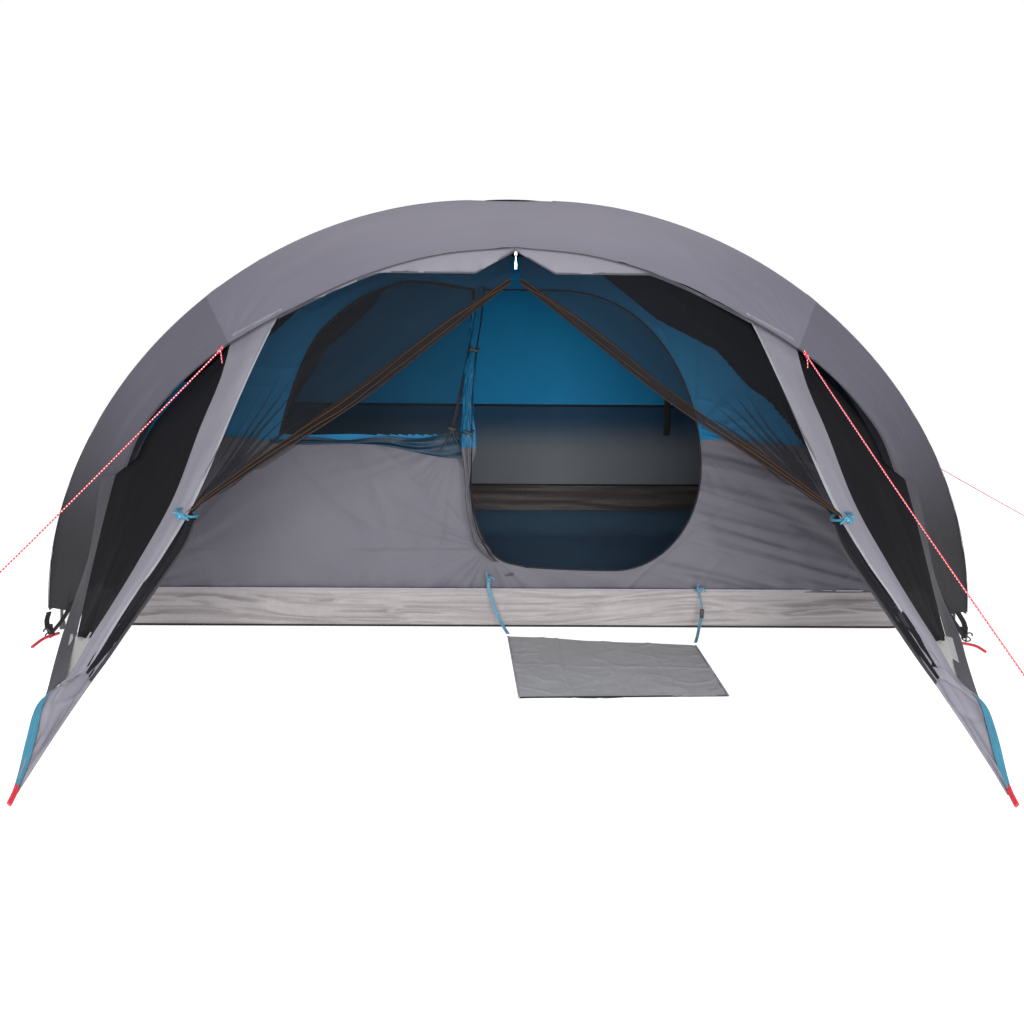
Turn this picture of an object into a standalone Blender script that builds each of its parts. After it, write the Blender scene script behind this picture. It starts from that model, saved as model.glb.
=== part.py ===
"""Pop up dome tent with a brimmed fly, a meshed front porch, an inner cabin and a hinged pole frame."""

import math

import bmesh
import bpy
from mathutils import Matrix, Vector

# Placement: the line of the front feet lies this far along Y, so that the origin is under the middle.
FRONT_FEET_Y = -0.41

# Fly: three semi-axes of the elliptical arches that the diagonal ridges follow.
DOME_HALF_WIDTH = 1.85
DOME_HALF_DEPTH = 1.10
DOME_HEIGHT = 1.81
FLY_THICK = 0.002
CROWN_ANGLE = 4.0
HEM_ANGLE = 87.0
RIDGE_GAP = 0.004
SIDE_TUCK = 0.05

# Brim: front edge of the fly, half of it, from the middle to the foot.
BRIM_EDGE = (
    (0.00, -0.350, 1.470),
    (0.26, -0.352, 1.443),
    (0.51, -0.352, 1.373),
    (0.77, -0.350, 1.255),
    (0.97, -0.350, 1.145),
    (1.13, -0.270, 1.045),
    (1.265, -0.200, 0.935),
    (1.37, -0.160, 0.820),
    (1.46, -0.120, 0.660),
    (1.57, -0.080, 0.420),
    (1.67, -0.040, 0.200),
    (1.76, -0.010, 0.085),
)
BRIM_CORNER_ANGLE = 43.0
BRIM_CORNER_INDEX = 4

# Porch.
PORCH_PEG = (1.30, -1.31, 0.0)
PORCH_TIE = (1.00, -0.79, 0.65)
PORCH_THICK = 0.002
HEADER_DROP = 0.075
HEADER_INSET = 0.016
STRIP_HALF_WIDTH = 0.06
ZIP_SLIDER = (0, -0.357, 1.449)
ZIP_PULL = (0, -0.370, 1.415)
ZIP_PULL_HINGE = (0, -0.370, 1.437)

# Inner cabin.
CABIN_HALF_WIDTH = 1.66
CABIN_HALF_DEPTH = 1.045
CABIN_HEIGHT = 1.70
CABIN_THICK = 0.002
TUB_HEIGHT = 0.155
TUB_THICK = 0.003
TUB_LEAN = 0.025
BAND_HEIGHT = 0.72
DOOR_LEFT_SIDE = (
    (0.060, 0.252), (-0.050, 0.285), (-0.120, 0.380), (-0.160, 0.520), (-0.172, 0.700), (-0.160, 0.950),
    (-0.142, 1.200), (-0.126, 1.370),
)
WINDOW_OUTLINE = (
    (-0.190, 0.775), (-0.165, 1.370), (-0.330, 1.395), (-0.453, 1.400), (-0.561, 1.365), (-0.674, 1.305),
    (-0.782, 1.205), (-0.834, 1.125), (-0.876, 1.020), (-0.909, 0.910), (-0.934, 0.808), (-0.940, 0.775),
)
WINDOW_CLEARANCE = 0.0005
WINDOW_MIDDLE = (-0.50, 1.05)
DOOR_MIDDLE = (0.30, 0.80)
ROLL_RADIUS = 0.024
DOOR_TOP = 1.37
DOOR_SILL = 0.24
DOOR_RIGHT = 0.77
DOOR_WIDEST = 0.66
DOOR_TOP_RUN = 0.17
DOOR_LOW_RUN = 0.42
ROLL_TOP = 1.33
ROLL_FOOT = 0.31
TOGGLE_HEIGHT = 1.12
STRAP_HINGE = (0.85, 1.35, 0.86)
STRAP_SIZE = (0.034, 0.003, 0.20)

# Frame.
POLE_STEPS = 9
POLE_HALF_WIDTH = 1.815
POLE_HALF_DEPTH = 1.075
POLE_HEIGHT = 1.772
POLE_RADIUS = 0.006
ELBOW_ANGLE = 45.0
FOOT_HEIGHT = 0.030
FOOT_FLARE = 2.0
HUB_RADIUS = 0.070
HUB_HEIGHT = 0.040
HUB_PIVOT_RADIUS = 0.056
SLOT_WIDTH = 0.017
RING_RADIUS = 0.017
RING_DROP = 0.023
FORK_REACH = 0.0475

# Ground gear: the guy lines' ends and sag, on the fly and on the ground.
GUY_RADIUS = 0.0025
GUY_LINES = {
    "front_left": ((-0.985, -0.372, 1.133), (-2.03, -0.90, 0.01), 0.012),
    "front_right": ((0.985, -0.372, 1.133), (1.52, -1.42, 0.01), 0.012),
    "rear_right": ((1.60, 2.035, 0.99), (3.30, 1.52, 0.01), 0.010),
}
MAT_THICK = 0.006
MAT_GAP = 0.001
MAT_CORNERS = ((-0.012, -0.06), (0.715, -0.16), (0.72, -0.65), (0.02, -0.67))
MAT_STRAP_WIDTH = 0.018
MAT_STRAPS = {
    "left": ((-0.085, 0.050, 0.193), (-0.070, 0.032, 0.10), (-0.038, 0.0, 0.035), (-0.010, -0.052, 0.014)),
    "right": ((0.778, 0.048, 0.150), (0.782, 0.022, 0.06), (0.760, -0.05, 0.026), (0.718, -0.145, 0.014)),
}

COLORS = {
    "fly_grey": (0.27, 0.26, 0.31),
    "trim_grey": (0.42, 0.41, 0.47),
    "mesh_black": (0.02, 0.02, 0.024),
    "cabin_blue": (0.02, 0.14, 0.28),
    "cabin_grey": (0.19, 0.18, 0.23),
    "tub_beige": (0.42, 0.40, 0.38),
    "web_black": (0.01, 0.01, 0.012),
    "tie_blue": (0.12, 0.42, 0.62),
    "guy_red": (0.50, 0.03, 0.06),
    "pole_grey": (0.10, 0.10, 0.11),
    "hub_black": (0.03, 0.03, 0.03),
    "peg_steel": (0.45, 0.45, 0.47),
    "mat_grey": (0.28, 0.28, 0.30),
}
METALS = {"peg_steel": 0.9}


def clear_scene():
    for obj in list(bpy.data.objects):
        bpy.data.objects.remove(obj, do_unlink=True)


def new_collection(name, hidden=False):
    made = bpy.data.collections.new(name)
    made.hide_render = hidden
    bpy.context.scene.collection.children.link(made)
    return made


def place(point):
    """A point measured from the middle of the front feet, in the object's frame."""
    return Vector((point[0], point[1] + FRONT_FEET_Y, point[2]))


def paint(obj, color):
    made = bpy.data.materials.new(obj.name + "_finish")
    made.use_nodes = True
    shader = made.node_tree.nodes["Principled BSDF"]
    shader.inputs["Base Color"].default_value = (*COLORS[color], 1)
    shader.inputs["Roughness"].default_value = 0.35 if color in METALS else 0.8
    shader.inputs["Metallic"].default_value = METALS.get(color, 0.0)
    obj.data.materials.append(made)


def add(name, data, color, origin=None):
    """Links the data as an object, its own origin moved to the given point of the object's frame."""
    obj = bpy.data.objects.new(name, data)
    if origin is not None:
        data.transform(Matrix.Translation(-origin))
        obj.location = origin
    TENT.objects.link(obj)
    paint(obj, color)
    return obj


def thicken(obj, thickness):
    solidify = obj.modifiers.new("thickness", "SOLIDIFY")
    solidify.thickness = thickness
    solidify.offset = 0.0
    solidify.use_even_offset = False


def grid_mesh(name, rows):
    """A mesh of quads over rows of equally many points."""
    mesh = bpy.data.meshes.new(name)
    count = len(rows[0])
    verts = [place(point) for row in rows for point in row]
    faces = []
    for i in range(len(rows) - 1):
        for j in range(count - 1):
            a = i * count + j
            faces.append((a, a + 1, a + count + 1, a + count))
    mesh.from_pydata(verts, [], faces)
    return mesh


def fabric(name, rows, color, thickness):
    obj = add(name, grid_mesh(name, rows), color)
    thicken(obj, thickness)
    return obj


def catmull(points, u):
    """Smooth curve through points, u from 0 to 1 spread evenly over the spans."""
    spans = len(points) - 1
    place_at = min(max(u, 0.0), 1.0) * spans
    k = min(int(place_at), spans - 1)
    f = place_at - k
    p1 = Vector(points[k])
    p2 = Vector(points[k + 1])
    p0 = Vector(points[k - 1]) if k > 0 else p1 * 2 - p2
    p3 = Vector(points[k + 2]) if k + 2 <= spans else p2 * 2 - p1
    return 0.5 * (
        2 * p1
        + (p2 - p0) * f
        + (2 * p0 - 5 * p1 + 4 * p2 - p3) * f * f
        + (3 * p1 - p0 - 3 * p2 + p3) * f ** 3
    )


def line(points, count):
    return [catmull(points, i / (count - 1)) for i in range(count)]


def between(first, second, count, bulge=(0, 0, 0), pinned=False):
    """Rows of points between two side lines, bulged in the middle. Pinned rows at the ends stay straight."""
    rows = []
    for i, (a, b) in enumerate(zip(first, second)):
        share = math.sin(math.pi * i / (len(first) - 1)) if pinned else 1.0
        row = []
        for j in range(count):
            u = j / (count - 1)
            swell = Vector(bulge) * share * math.sin(math.pi * u)
            row.append(Vector(a).lerp(Vector(b), u) + swell)
        rows.append(row)
    return rows


def mirrored(rows):
    return [[(-p[0], p[1], p[2]) for p in row] for row in rows]


def both_sides(name, rows, color, thickness):
    fabric(name + "_right", rows, color, thickness)
    fabric(name + "_left", mirrored(rows), color, thickness)


def arch(sizes, angle, side, end):
    """A point of a diagonal arch: side is -1 or 1 for left or right, end -1 or 1 for front or rear."""
    width, depth, height = sizes
    turn = math.radians(angle)
    return Vector((
        side * width * math.sin(turn),
        DOME_HALF_DEPTH + end * depth * math.sin(turn),
        height * math.cos(turn),
    ))


FLY = (DOME_HALF_WIDTH, DOME_HALF_DEPTH, DOME_HEIGHT)
POLES = (POLE_HALF_WIDTH, POLE_HALF_DEPTH, POLE_HEIGHT)
CABIN = (CABIN_HALF_WIDTH, CABIN_HALF_DEPTH, CABIN_HEIGHT)


def angles(first, last, count):
    return [first + (last - first) * i / (count - 1) for i in range(count)]


def side_rows(sizes, first, last, along, across, tuck, gap):
    """A wall between a front and a rear arch on the right, drawn in a little at mid depth."""
    rows = []
    for angle in angles(first, last, along):
        front = arch(sizes, angle, 1, -1) + Vector((0, gap, 0))
        rear = arch(sizes, angle, 1, 1) - Vector((0, gap, 0))
        pull = -tuck * math.sin(math.radians(angle)) ** 2
        rows.append([
            front.lerp(rear, j / (across - 1))
            + Vector((pull * math.sin(math.pi * j / (across - 1)), 0, 0))
            for j in range(across)
        ])
    return rows


def end_rows(sizes, end, first, last, along, across, tuck, gap):
    """A wall between the left and right arches at the front or rear."""
    rows = []
    for angle in angles(first, last, along):
        left = arch(sizes, angle, -1, end) + Vector((gap, 0, 0))
        right = arch(sizes, angle, 1, end) - Vector((gap, 0, 0))
        pull = -end * tuck * math.sin(math.radians(angle)) ** 2
        rows.append([
            left.lerp(right, j / (across - 1))
            + Vector((0, pull * math.sin(math.pi * j / (across - 1)), 0))
            for j in range(across)
        ])
    return rows


def brim_point(u):
    return catmull(BRIM_EDGE, u)


def build_fly():
    rows = side_rows(FLY, CROWN_ANGLE, HEM_ANGLE, 12, 6, SIDE_TUCK, RIDGE_GAP)
    both_sides("fly_side", rows, "fly_grey", FLY_THICK)
    rear = end_rows(FLY, 1, CROWN_ANGLE, HEM_ANGLE, 12, 8, SIDE_TUCK, RIDGE_GAP)
    fabric("fly_rear", rear, "fly_grey", FLY_THICK)
    corner = BRIM_CORNER_INDEX / (len(BRIM_EDGE) - 1)
    lift = Vector((0, -RIDGE_GAP, RIDGE_GAP))
    half = []
    for i in range(7):
        u = i / 6
        ridge = arch(FLY, CROWN_ANGLE + (BRIM_CORNER_ANGLE - CROWN_ANGLE) * u, 1, -1) + lift
        half.append((ridge, brim_point(corner * u)))
    half[0][0].x = 0
    roof = [(Vector((-a.x, a.y, a.z)), Vector((-b.x, b.y, b.z))) for a, b in half[:0:-1]] + half
    rows = between([pair[0] for pair in roof], [pair[1] for pair in roof], 5, (0, 0, 0.03), pinned=True)
    fabric("fly_brim", rows, "fly_grey", FLY_THICK)
    ridge = []
    edge = []
    for i in range(8):
        u = i / 7
        angle = BRIM_CORNER_ANGLE + 0.4 + (HEM_ANGLE - BRIM_CORNER_ANGLE - 0.4) * u
        ridge.append(arch(FLY, angle, 1, -1) + lift)
        edge.append(brim_point(corner + 0.006 + (1 - corner - 0.006) * u))
    both_sides("fly_wing", between(ridge, edge, 4, (0.01, -0.02, 0), pinned=True), "fly_grey", FLY_THICK)
    build_crown()


def build_crown():
    """Round patch over the hub, above the tops of the fly panels."""
    mesh = bpy.data.meshes.new("fly_crown_patch")
    shape = bmesh.new()
    bmesh.ops.create_cone(
        shape, cap_ends=True, segments=16, radius1=0.165, radius2=0.12, depth=0.006,
    )
    middle = place((0, DOME_HALF_DEPTH, DOME_HEIGHT + 0.012))
    bmesh.ops.translate(shape, vec=middle, verts=shape.verts)
    shape.to_mesh(mesh)
    shape.free()
    add("fly_crown_patch", mesh, "fly_grey")


def header_line(drop, u, inset):
    """A line under the brim edge, u from 0 at the middle to 1 at the porch corner."""
    corner = (BRIM_CORNER_INDEX - 0.85) / (len(BRIM_EDGE) - 1)
    point = brim_point(corner * u)
    return point + Vector((0, inset, -drop))


def build_porch():
    top = [header_line(0.012, abs(i) / 6, HEADER_INSET) for i in range(-6, 7)]
    low = [header_line(0.012 + HEADER_DROP, abs(i) / 6, HEADER_INSET + 0.01) for i in range(-6, 7)]
    for k in range(6):
        top[k].x = -top[k].x
        low[k].x = -low[k].x
    fabric("porch_header", between(top, low, 3), "trim_grey", PORCH_THICK)
    build_corner_strips()
    build_mesh_doors()
    build_side_mesh()
    build_porch_trim()


def strip_line(offset, count, start=0.0, end=1.0):
    """A line down the corner strip, offset sideways in metres, bowed in at the tie."""
    top = Vector((0.885, -0.290, 1.130))
    tie = Vector((PORCH_TIE[0] + 0.035, PORCH_TIE[1] + 0.01, PORCH_TIE[2]))
    peg = Vector((PORCH_PEG[0] - 0.02, PORCH_PEG[1] + 0.02, 0.02))
    points = line((top, top.lerp(tie, 0.5) + Vector((-0.01, 0.0, 0.01)), tie, tie.lerp(peg, 0.5), peg), 21)
    found = []
    for i in range(count):
        u = start + (end - start) * i / (count - 1)
        width = offset * (1 - 0.62 * u)
        found.append(catmull(points, u) + Vector((width, 0.35 * width, 0)))
    return found


def build_corner_strips():
    outer = strip_line(STRIP_HALF_WIDTH, 12, 0.0, 0.83)
    inner = strip_line(-STRIP_HALF_WIDTH, 12, 0.0, 0.83)
    both_sides("porch_corner_strip", between(outer, inner, 3, (0, -0.006, 0)), "trim_grey", PORCH_THICK)
    outer = strip_line(STRIP_HALF_WIDTH, 5, 0.84, 1.0)
    inner = strip_line(-0.05, 5, 0.84, 1.0)
    both_sides("porch_corner_tab", between(outer, inner, 3), "tie_blue", PORCH_THICK)
    outer = [p + Vector((0.0, 0.02, 0)) for p in rear_strip_line(0.045, 9)]
    inner = [p + Vector((0.0, 0.02, 0)) for p in rear_strip_line(-0.045, 9)]
    both_sides("porch_rear_strip", between(outer, inner, 3), "trim_grey", PORCH_THICK)


def rear_strip_line(offset, count):
    top = Vector((1.485, -0.16, 0.60))
    low = Vector((PORCH_PEG[0] + 0.045, PORCH_PEG[1] + 0.16, 0.17))
    found = []
    for i in range(count):
        u = i / (count - 1)
        width = offset * (1 - 0.6 * u)
        sag = -0.05 * math.sin(math.pi * u)
        found.append(top.lerp(low, u) + Vector((width * 0.3, -width * 0.2, width + sag)))
    return found


def build_mesh_doors():
    """Each half of the porch door, tied back, and the gathered length that hangs below the tie."""
    header = [header_line(0.10, u, 0.03) for u in (0.02, 0.25, 0.5, 0.75, 0.97)]
    strip = strip_line(-0.082, 6, 0.10, 0.49)
    start = header[0] + Vector((0.0, -0.004, -0.015))
    tie = Vector((PORCH_TIE[0] - 0.03, PORCH_TIE[1] - 0.015, PORCH_TIE[2] + 0.01))
    bend = start.lerp(tie, 0.5) + Vector((-0.02, -0.05, -0.02))
    free = line((start, start.lerp(bend, 0.5), bend, bend.lerp(tie, 0.5), tie), 14)
    gathered = strip_line(-0.082, 7, 0.54, 0.82)
    loose = []
    for i, point in enumerate(gathered):
        hang = math.sin(math.pi * (i + 1) / 8)
        loose.append(point + Vector((-0.10 * hang - 0.012, -0.01, 0.0)))
    outer = line(header + strip, 14) + gathered
    rows = between(outer, free + loose, 5, (0, 0.02, 0))
    both_sides("porch_mesh_door", rows, "mesh_black", PORCH_THICK)


def build_side_mesh():
    """Mesh wall between the fly wing, the corner strip and the rear strip."""
    fore = strip_line(0.085, 9, 0.03, 0.86)
    corner = BRIM_CORNER_INDEX / (len(BRIM_EDGE) - 1)
    low = (BRIM_CORNER_INDEX + 4) / (len(BRIM_EDGE) - 1)
    behind = Vector((-0.015, 0.03, -0.012))
    wing = [brim_point(corner + (low - corner) * (i + 0.2) / 3.2) + behind for i in range(4)]
    under = [p + Vector((0.0, 0.0, 0.012)) for p in rear_strip_line(0.06, 6)]
    aft = line(wing + under[1:], 9)
    aft[-1] = fore[-1] + Vector((0.012, 0.02, 0.004))
    both_sides("porch_side_mesh", between(fore, aft, 4), "mesh_black", PORCH_THICK)


def tube_curve(name, points, radius, color, resolution=2, origin=None, cyclic=False):
    curve = bpy.data.curves.new(name, "CURVE")
    curve.dimensions = "3D"
    curve.bevel_depth = radius
    curve.bevel_resolution = resolution
    curve.use_fill_caps = not cyclic
    spline = curve.splines.new("POLY")
    spline.points.add(len(points) - 1)
    for knot, point in zip(spline.points, points):
        knot.co = (*place(point), 1)
    spline.use_cyclic_u = cyclic
    return add(name, curve, color, origin)


def build_porch_trim():
    """Ties round the gathered doors, the zip slider and its pull, and the peg loops."""
    for side, name in ((1, "right"), (-1, "left")):
        ring = []
        for i in range(10):
            turn = 2 * math.pi * i / 10
            ring.append((
                side * (PORCH_TIE[0] - 0.046 + 0.033 * math.cos(turn)),
                PORCH_TIE[1] - 0.016 + 0.045 * math.sin(turn),
                PORCH_TIE[2] - 0.008 + 0.012 * math.cos(turn),
            ))
        tube_curve("porch_door_tie_" + name, ring, 0.004, "tie_blue", 2, cyclic=True)
        x = side * (PORCH_PEG[0] + 0.012)
        loop = [
            (x - side * 0.004, PORCH_PEG[1] - 0.010, 0.030),
            (x + side * 0.020, PORCH_PEG[1] - 0.035, 0.022),
            (x + side * 0.045, PORCH_PEG[1] - 0.065, 0.012),
        ]
        tube_curve("porch_peg_loop_" + name, loop, 0.006, "guy_red", 2)
    block("porch_zip_slider", ZIP_SLIDER, (0.012, 0.008, 0.016), "peg_steel")
    block("porch_zip_pull", ZIP_PULL, (0.010, 0.003, 0.044), "peg_steel", origin=place(ZIP_PULL_HINGE))


def block(name, middle, size, color, origin=None, turn=None):
    """A box with a small bevel, made at true size so that the bevel stays even."""
    mesh = bpy.data.meshes.new(name)
    shape = bmesh.new()
    bmesh.ops.create_cube(shape, size=1)
    bmesh.ops.scale(shape, vec=size, verts=shape.verts)
    if turn is not None:
        bmesh.ops.transform(shape, matrix=turn, verts=shape.verts)
    bmesh.ops.translate(shape, vec=place(middle), verts=shape.verts)
    shape.to_mesh(mesh)
    shape.free()
    obj = add(name, mesh, color, origin)
    bevel = obj.modifiers.new("edge", "BEVEL")
    bevel.width = min(size) * 0.2
    bevel.segments = 1
    return obj


def door_outline():
    """Outline of the D-shaped doorway, in X and Z."""
    points = [*DOOR_LEFT_SIDE, (DOOR_TOP_RUN, DOOR_TOP)]
    for i in range(1, 8):
        turn = math.pi / 2 * i / 7
        points.append((
            DOOR_TOP_RUN + (DOOR_RIGHT - DOOR_TOP_RUN) * math.sin(turn) ** 0.85,
            DOOR_WIDEST + (DOOR_TOP - DOOR_WIDEST) * math.cos(turn),
        ))
    for i in range(1, 6):
        turn = math.pi / 2 * i / 5
        points.append((
            DOOR_LOW_RUN + (DOOR_RIGHT - DOOR_LOW_RUN) * math.cos(turn),
            DOOR_WIDEST - (DOOR_WIDEST - DOOR_SILL) * math.sin(turn),
        ))
    return points


def opening_cutter(name, outline, middle, grow):
    """A prism through the front wall, its outline in X and Z moved out from the middle by grow."""
    mesh = bpy.data.meshes.new(name)
    shape = bmesh.new()
    rims = []
    for y in (-0.15, 1.0):
        rim = []
        for x, z in outline:
            out = (Vector((x, z)) - Vector(middle)).normalized() * grow
            rim.append(shape.verts.new(place((x + out.x, y, z + out.y))))
        rims.append(rim)
    shape.faces.new(rims[0])
    shape.faces.new(rims[1][::-1])
    count = len(outline)
    for i in range(count):
        j = (i + 1) % count
        shape.faces.new((rims[0][j], rims[0][i], rims[1][i], rims[1][j]))
    bmesh.ops.recalc_face_normals(shape, faces=shape.faces)
    shape.to_mesh(mesh)
    shape.free()
    return hide_cutter(bpy.data.objects.new(name, mesh))


def hide_cutter(cutter):
    cutter.hide_render = True
    cutter.display_type = "WIRE"
    CUTTERS.objects.link(cutter)
    return cutter


def cut(obj, cutter, operation="DIFFERENCE"):
    boolean = obj.modifiers.new("cut", "BOOLEAN")
    boolean.operation = operation
    boolean.solver = "EXACT"
    boolean.object = cutter


def angle_at(sizes, height):
    return math.degrees(math.acos(height / sizes[2]))


def build_cabin():
    build_tub()
    low = angle_at(CABIN, TUB_HEIGHT + 0.008)
    band = angle_at(CABIN, BAND_HEIGHT)
    cutter = opening_cutter("doorway_cutter", door_outline(), DOOR_MIDDLE, 0.0)
    gap = 0.004
    lower = end_rows(CABIN, -1, band + 0.15, low, 5, 13, 0.03, gap)
    cut(fabric("cabin_front_lower", lower, "cabin_grey", CABIN_THICK), cutter)
    upper = end_rows(CABIN, -1, CROWN_ANGLE, band - 0.15, 9, 13, 0.03, gap)
    front = fabric("cabin_front_upper", upper, "cabin_blue", CABIN_THICK)
    cut(front, cutter)
    cut(front, opening_cutter("window_cutter", WINDOW_OUTLINE, WINDOW_MIDDLE, 0.0))
    mesh = fabric("cabin_window_mesh", upper, "mesh_black", CABIN_THICK)
    keep = opening_cutter("window_shape", WINDOW_OUTLINE, WINDOW_MIDDLE, -WINDOW_CLEARANCE)
    cut(mesh, keep, "INTERSECT")
    rows = side_rows(CABIN, CROWN_ANGLE, low, 10, 6, 0.03, gap)
    both_sides("cabin_side", rows, "cabin_blue", CABIN_THICK)
    rear = end_rows(CABIN, 1, CROWN_ANGLE, band - 0.15, 8, 9, 0.03, gap)
    fabric("cabin_rear_upper", rear, "cabin_blue", CABIN_THICK)
    rear = end_rows(CABIN, 1, band + 0.15, low, 4, 9, 0.03, gap)
    fabric("cabin_rear_lower", rear, "cabin_grey", CABIN_THICK)
    build_door_gear()


def build_tub():
    """Open tray of the groundsheet, its rim drawn out to the foot of the walls."""
    half_x = CABIN_HALF_WIDTH - TUB_LEAN - 0.012
    half_y = CABIN_HALF_DEPTH - 0.015
    mesh = bpy.data.meshes.new("cabin_floor_tub")
    shape = bmesh.new()
    rings = []
    levels = (
        (half_x, half_y, 0.0),
        (half_x + TUB_LEAN - 0.004, half_y + 0.004, TUB_HEIGHT),
        (half_x + TUB_LEAN - 0.004 - TUB_THICK, half_y + 0.004 - TUB_THICK, TUB_HEIGHT),
        (half_x - TUB_THICK, half_y - TUB_THICK, TUB_THICK),
    )
    for x, y, z in levels:
        corners = ((-x, -y), (x, -y), (x, y), (-x, y))
        rings.append([shape.verts.new(place((a, DOME_HALF_DEPTH + b, z))) for a, b in corners])
    shape.faces.new(rings[0][::-1])
    for lower, upper in zip(rings, rings[1:]):
        for i in range(4):
            j = (i + 1) % 4
            shape.faces.new((lower[i], lower[j], upper[j], upper[i]))
    shape.faces.new(rings[3])
    bmesh.ops.recalc_face_normals(shape, faces=shape.faces)
    shape.to_mesh(mesh)
    shape.free()
    add("cabin_floor_tub", mesh, "tub_beige")


def front_wall_y(height):
    turn = math.acos(height / CABIN_HEIGHT)
    return DOME_HALF_DEPTH - CABIN_HALF_DEPTH * math.sin(turn)


def door_side_x(height):
    """X of the doorway's left side at a height."""
    for (low_x, low), (high_x, high) in zip(DOOR_LEFT_SIDE, DOOR_LEFT_SIDE[1:]):
        if height <= high:
            return low_x + (high_x - low_x) * (height - low) / (high - low)
    return DOOR_LEFT_SIDE[-1][0]


def build_door_gear():
    """The rolled door, its toggle, the zip slider with its pull and the strap that hangs inside."""
    roll = []
    for i in range(12):
        height = ROLL_TOP - (ROLL_TOP - ROLL_FOOT) * i / 11
        belly = math.sin(math.pi * i / 11)
        roll.append((door_side_x(height) - 0.012, front_wall_y(height) - 0.045 - 0.012 * belly, height))
    tube_curve("cabin_door_roll", roll, ROLL_RADIUS, "cabin_blue", 2)
    reach = ROLL_RADIUS + 0.011
    ring = []
    for i in range(8):
        turn = 2 * math.pi * i / 8
        ring.append((
            door_side_x(TOGGLE_HEIGHT) - 0.012 + reach * math.cos(turn),
            front_wall_y(TOGGLE_HEIGHT) - 0.052 + reach * math.sin(turn),
            TOGGLE_HEIGHT,
        ))
    tube_curve("cabin_roll_toggle", ring, 0.003, "web_black", 2, cyclic=True)
    y = front_wall_y(DOOR_SILL) - 0.012
    block("cabin_door_zip_slider", (0.0, y, DOOR_SILL - 0.012), (0.022, 0.009, 0.012), "peg_steel")
    middle = Vector(STRAP_HINGE) - Vector((0, 0, STRAP_SIZE[2] / 2))
    block("cabin_hanging_strap", middle, STRAP_SIZE, "web_black", origin=place(STRAP_HINGE))


def diagonals():
    return (
        ("front_right", 1, -1), ("front_left", -1, -1), ("rear_right", 1, 1), ("rear_left", -1, 1),
    )


def pole_frame(angle, side, end):
    """The pole's point, its direction downwards, the hinge axis and the outward normal."""
    point = arch(POLES, angle, side, end)
    ahead = arch(POLES, angle + 0.1, side, end)
    down = (ahead - point).normalized()
    radial = Vector((side * POLE_HALF_WIDTH, end * POLE_HALF_DEPTH, 0)).normalized()
    axis = Vector((0, 0, 1)).cross(radial).normalized()
    return point, down, axis, axis.cross(down).normalized()


def hub_pivot(side, end):
    radial = Vector((side * POLE_HALF_WIDTH, end * POLE_HALF_DEPTH, 0)).normalized()
    return Vector((0, DOME_HALF_DEPTH, POLE_HEIGHT)) + radial * HUB_PIVOT_RADIUS


def elbow_mesh(name, point, down, axis, normal):
    """Fork of the elbow: a block on the upper pole with two ears beside the lower pole's end."""
    half_gap = SLOT_WIDTH / 2
    half = half_gap + 0.005
    profile = (
        (-half, 0.046), (half, 0.046), (half, -0.013), (half_gap, -0.013),
        (half_gap, 0.012), (-half_gap, 0.012), (-half_gap, -0.013), (-half, -0.013),
    )
    mesh = bpy.data.meshes.new(name)
    shape = bmesh.new()
    rims = []
    for depth in (-0.013, 0.013):
        rims.append([
            shape.verts.new(place(point + axis * a - down * b + normal * depth)) for a, b in profile
        ])
    count = len(profile)
    shape.faces.new(rims[0])
    shape.faces.new(rims[1][::-1])
    for i in range(count):
        j = (i + 1) % count
        shape.faces.new((rims[0][j], rims[0][i], rims[1][i], rims[1][j]))
    bmesh.ops.recalc_face_normals(shape, faces=shape.faces)
    shape.to_mesh(mesh)
    shape.free()
    return mesh


def build_frame():
    build_hub()
    for name, side, end in diagonals():
        pivot = hub_pivot(side, end)
        elbow, down, axis, normal = pole_frame(ELBOW_ANGLE, side, end)
        upper_end = elbow - down * FORK_REACH
        upper = [pivot] + [arch(POLES, a, side, end) for a in angles(5.0, 42.0, POLE_STEPS)] + [upper_end]
        tube_curve("upper_pole_" + name, upper, POLE_RADIUS, "pole_grey", 2, origin=place(pivot))
        mesh = elbow_mesh("elbow_" + name, elbow, down, axis, normal)
        add("elbow_" + name, mesh, "hub_black", origin=place(elbow))
        lower = [elbow] + [arch(POLES, a, side, end) for a in angles(48.0, 88.6, POLE_STEPS)]
        tip = lower[-1]
        lower += [Vector((tip.x, tip.y, z)) for z in (FOOT_HEIGHT, 0.001)]
        pole = tube_curve("lower_pole_" + name, lower, POLE_RADIUS, "pole_grey", 2, origin=place(elbow))
        for knot in pole.data.splines[0].points[-2:]:
            knot.radius = FOOT_FLARE


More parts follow.
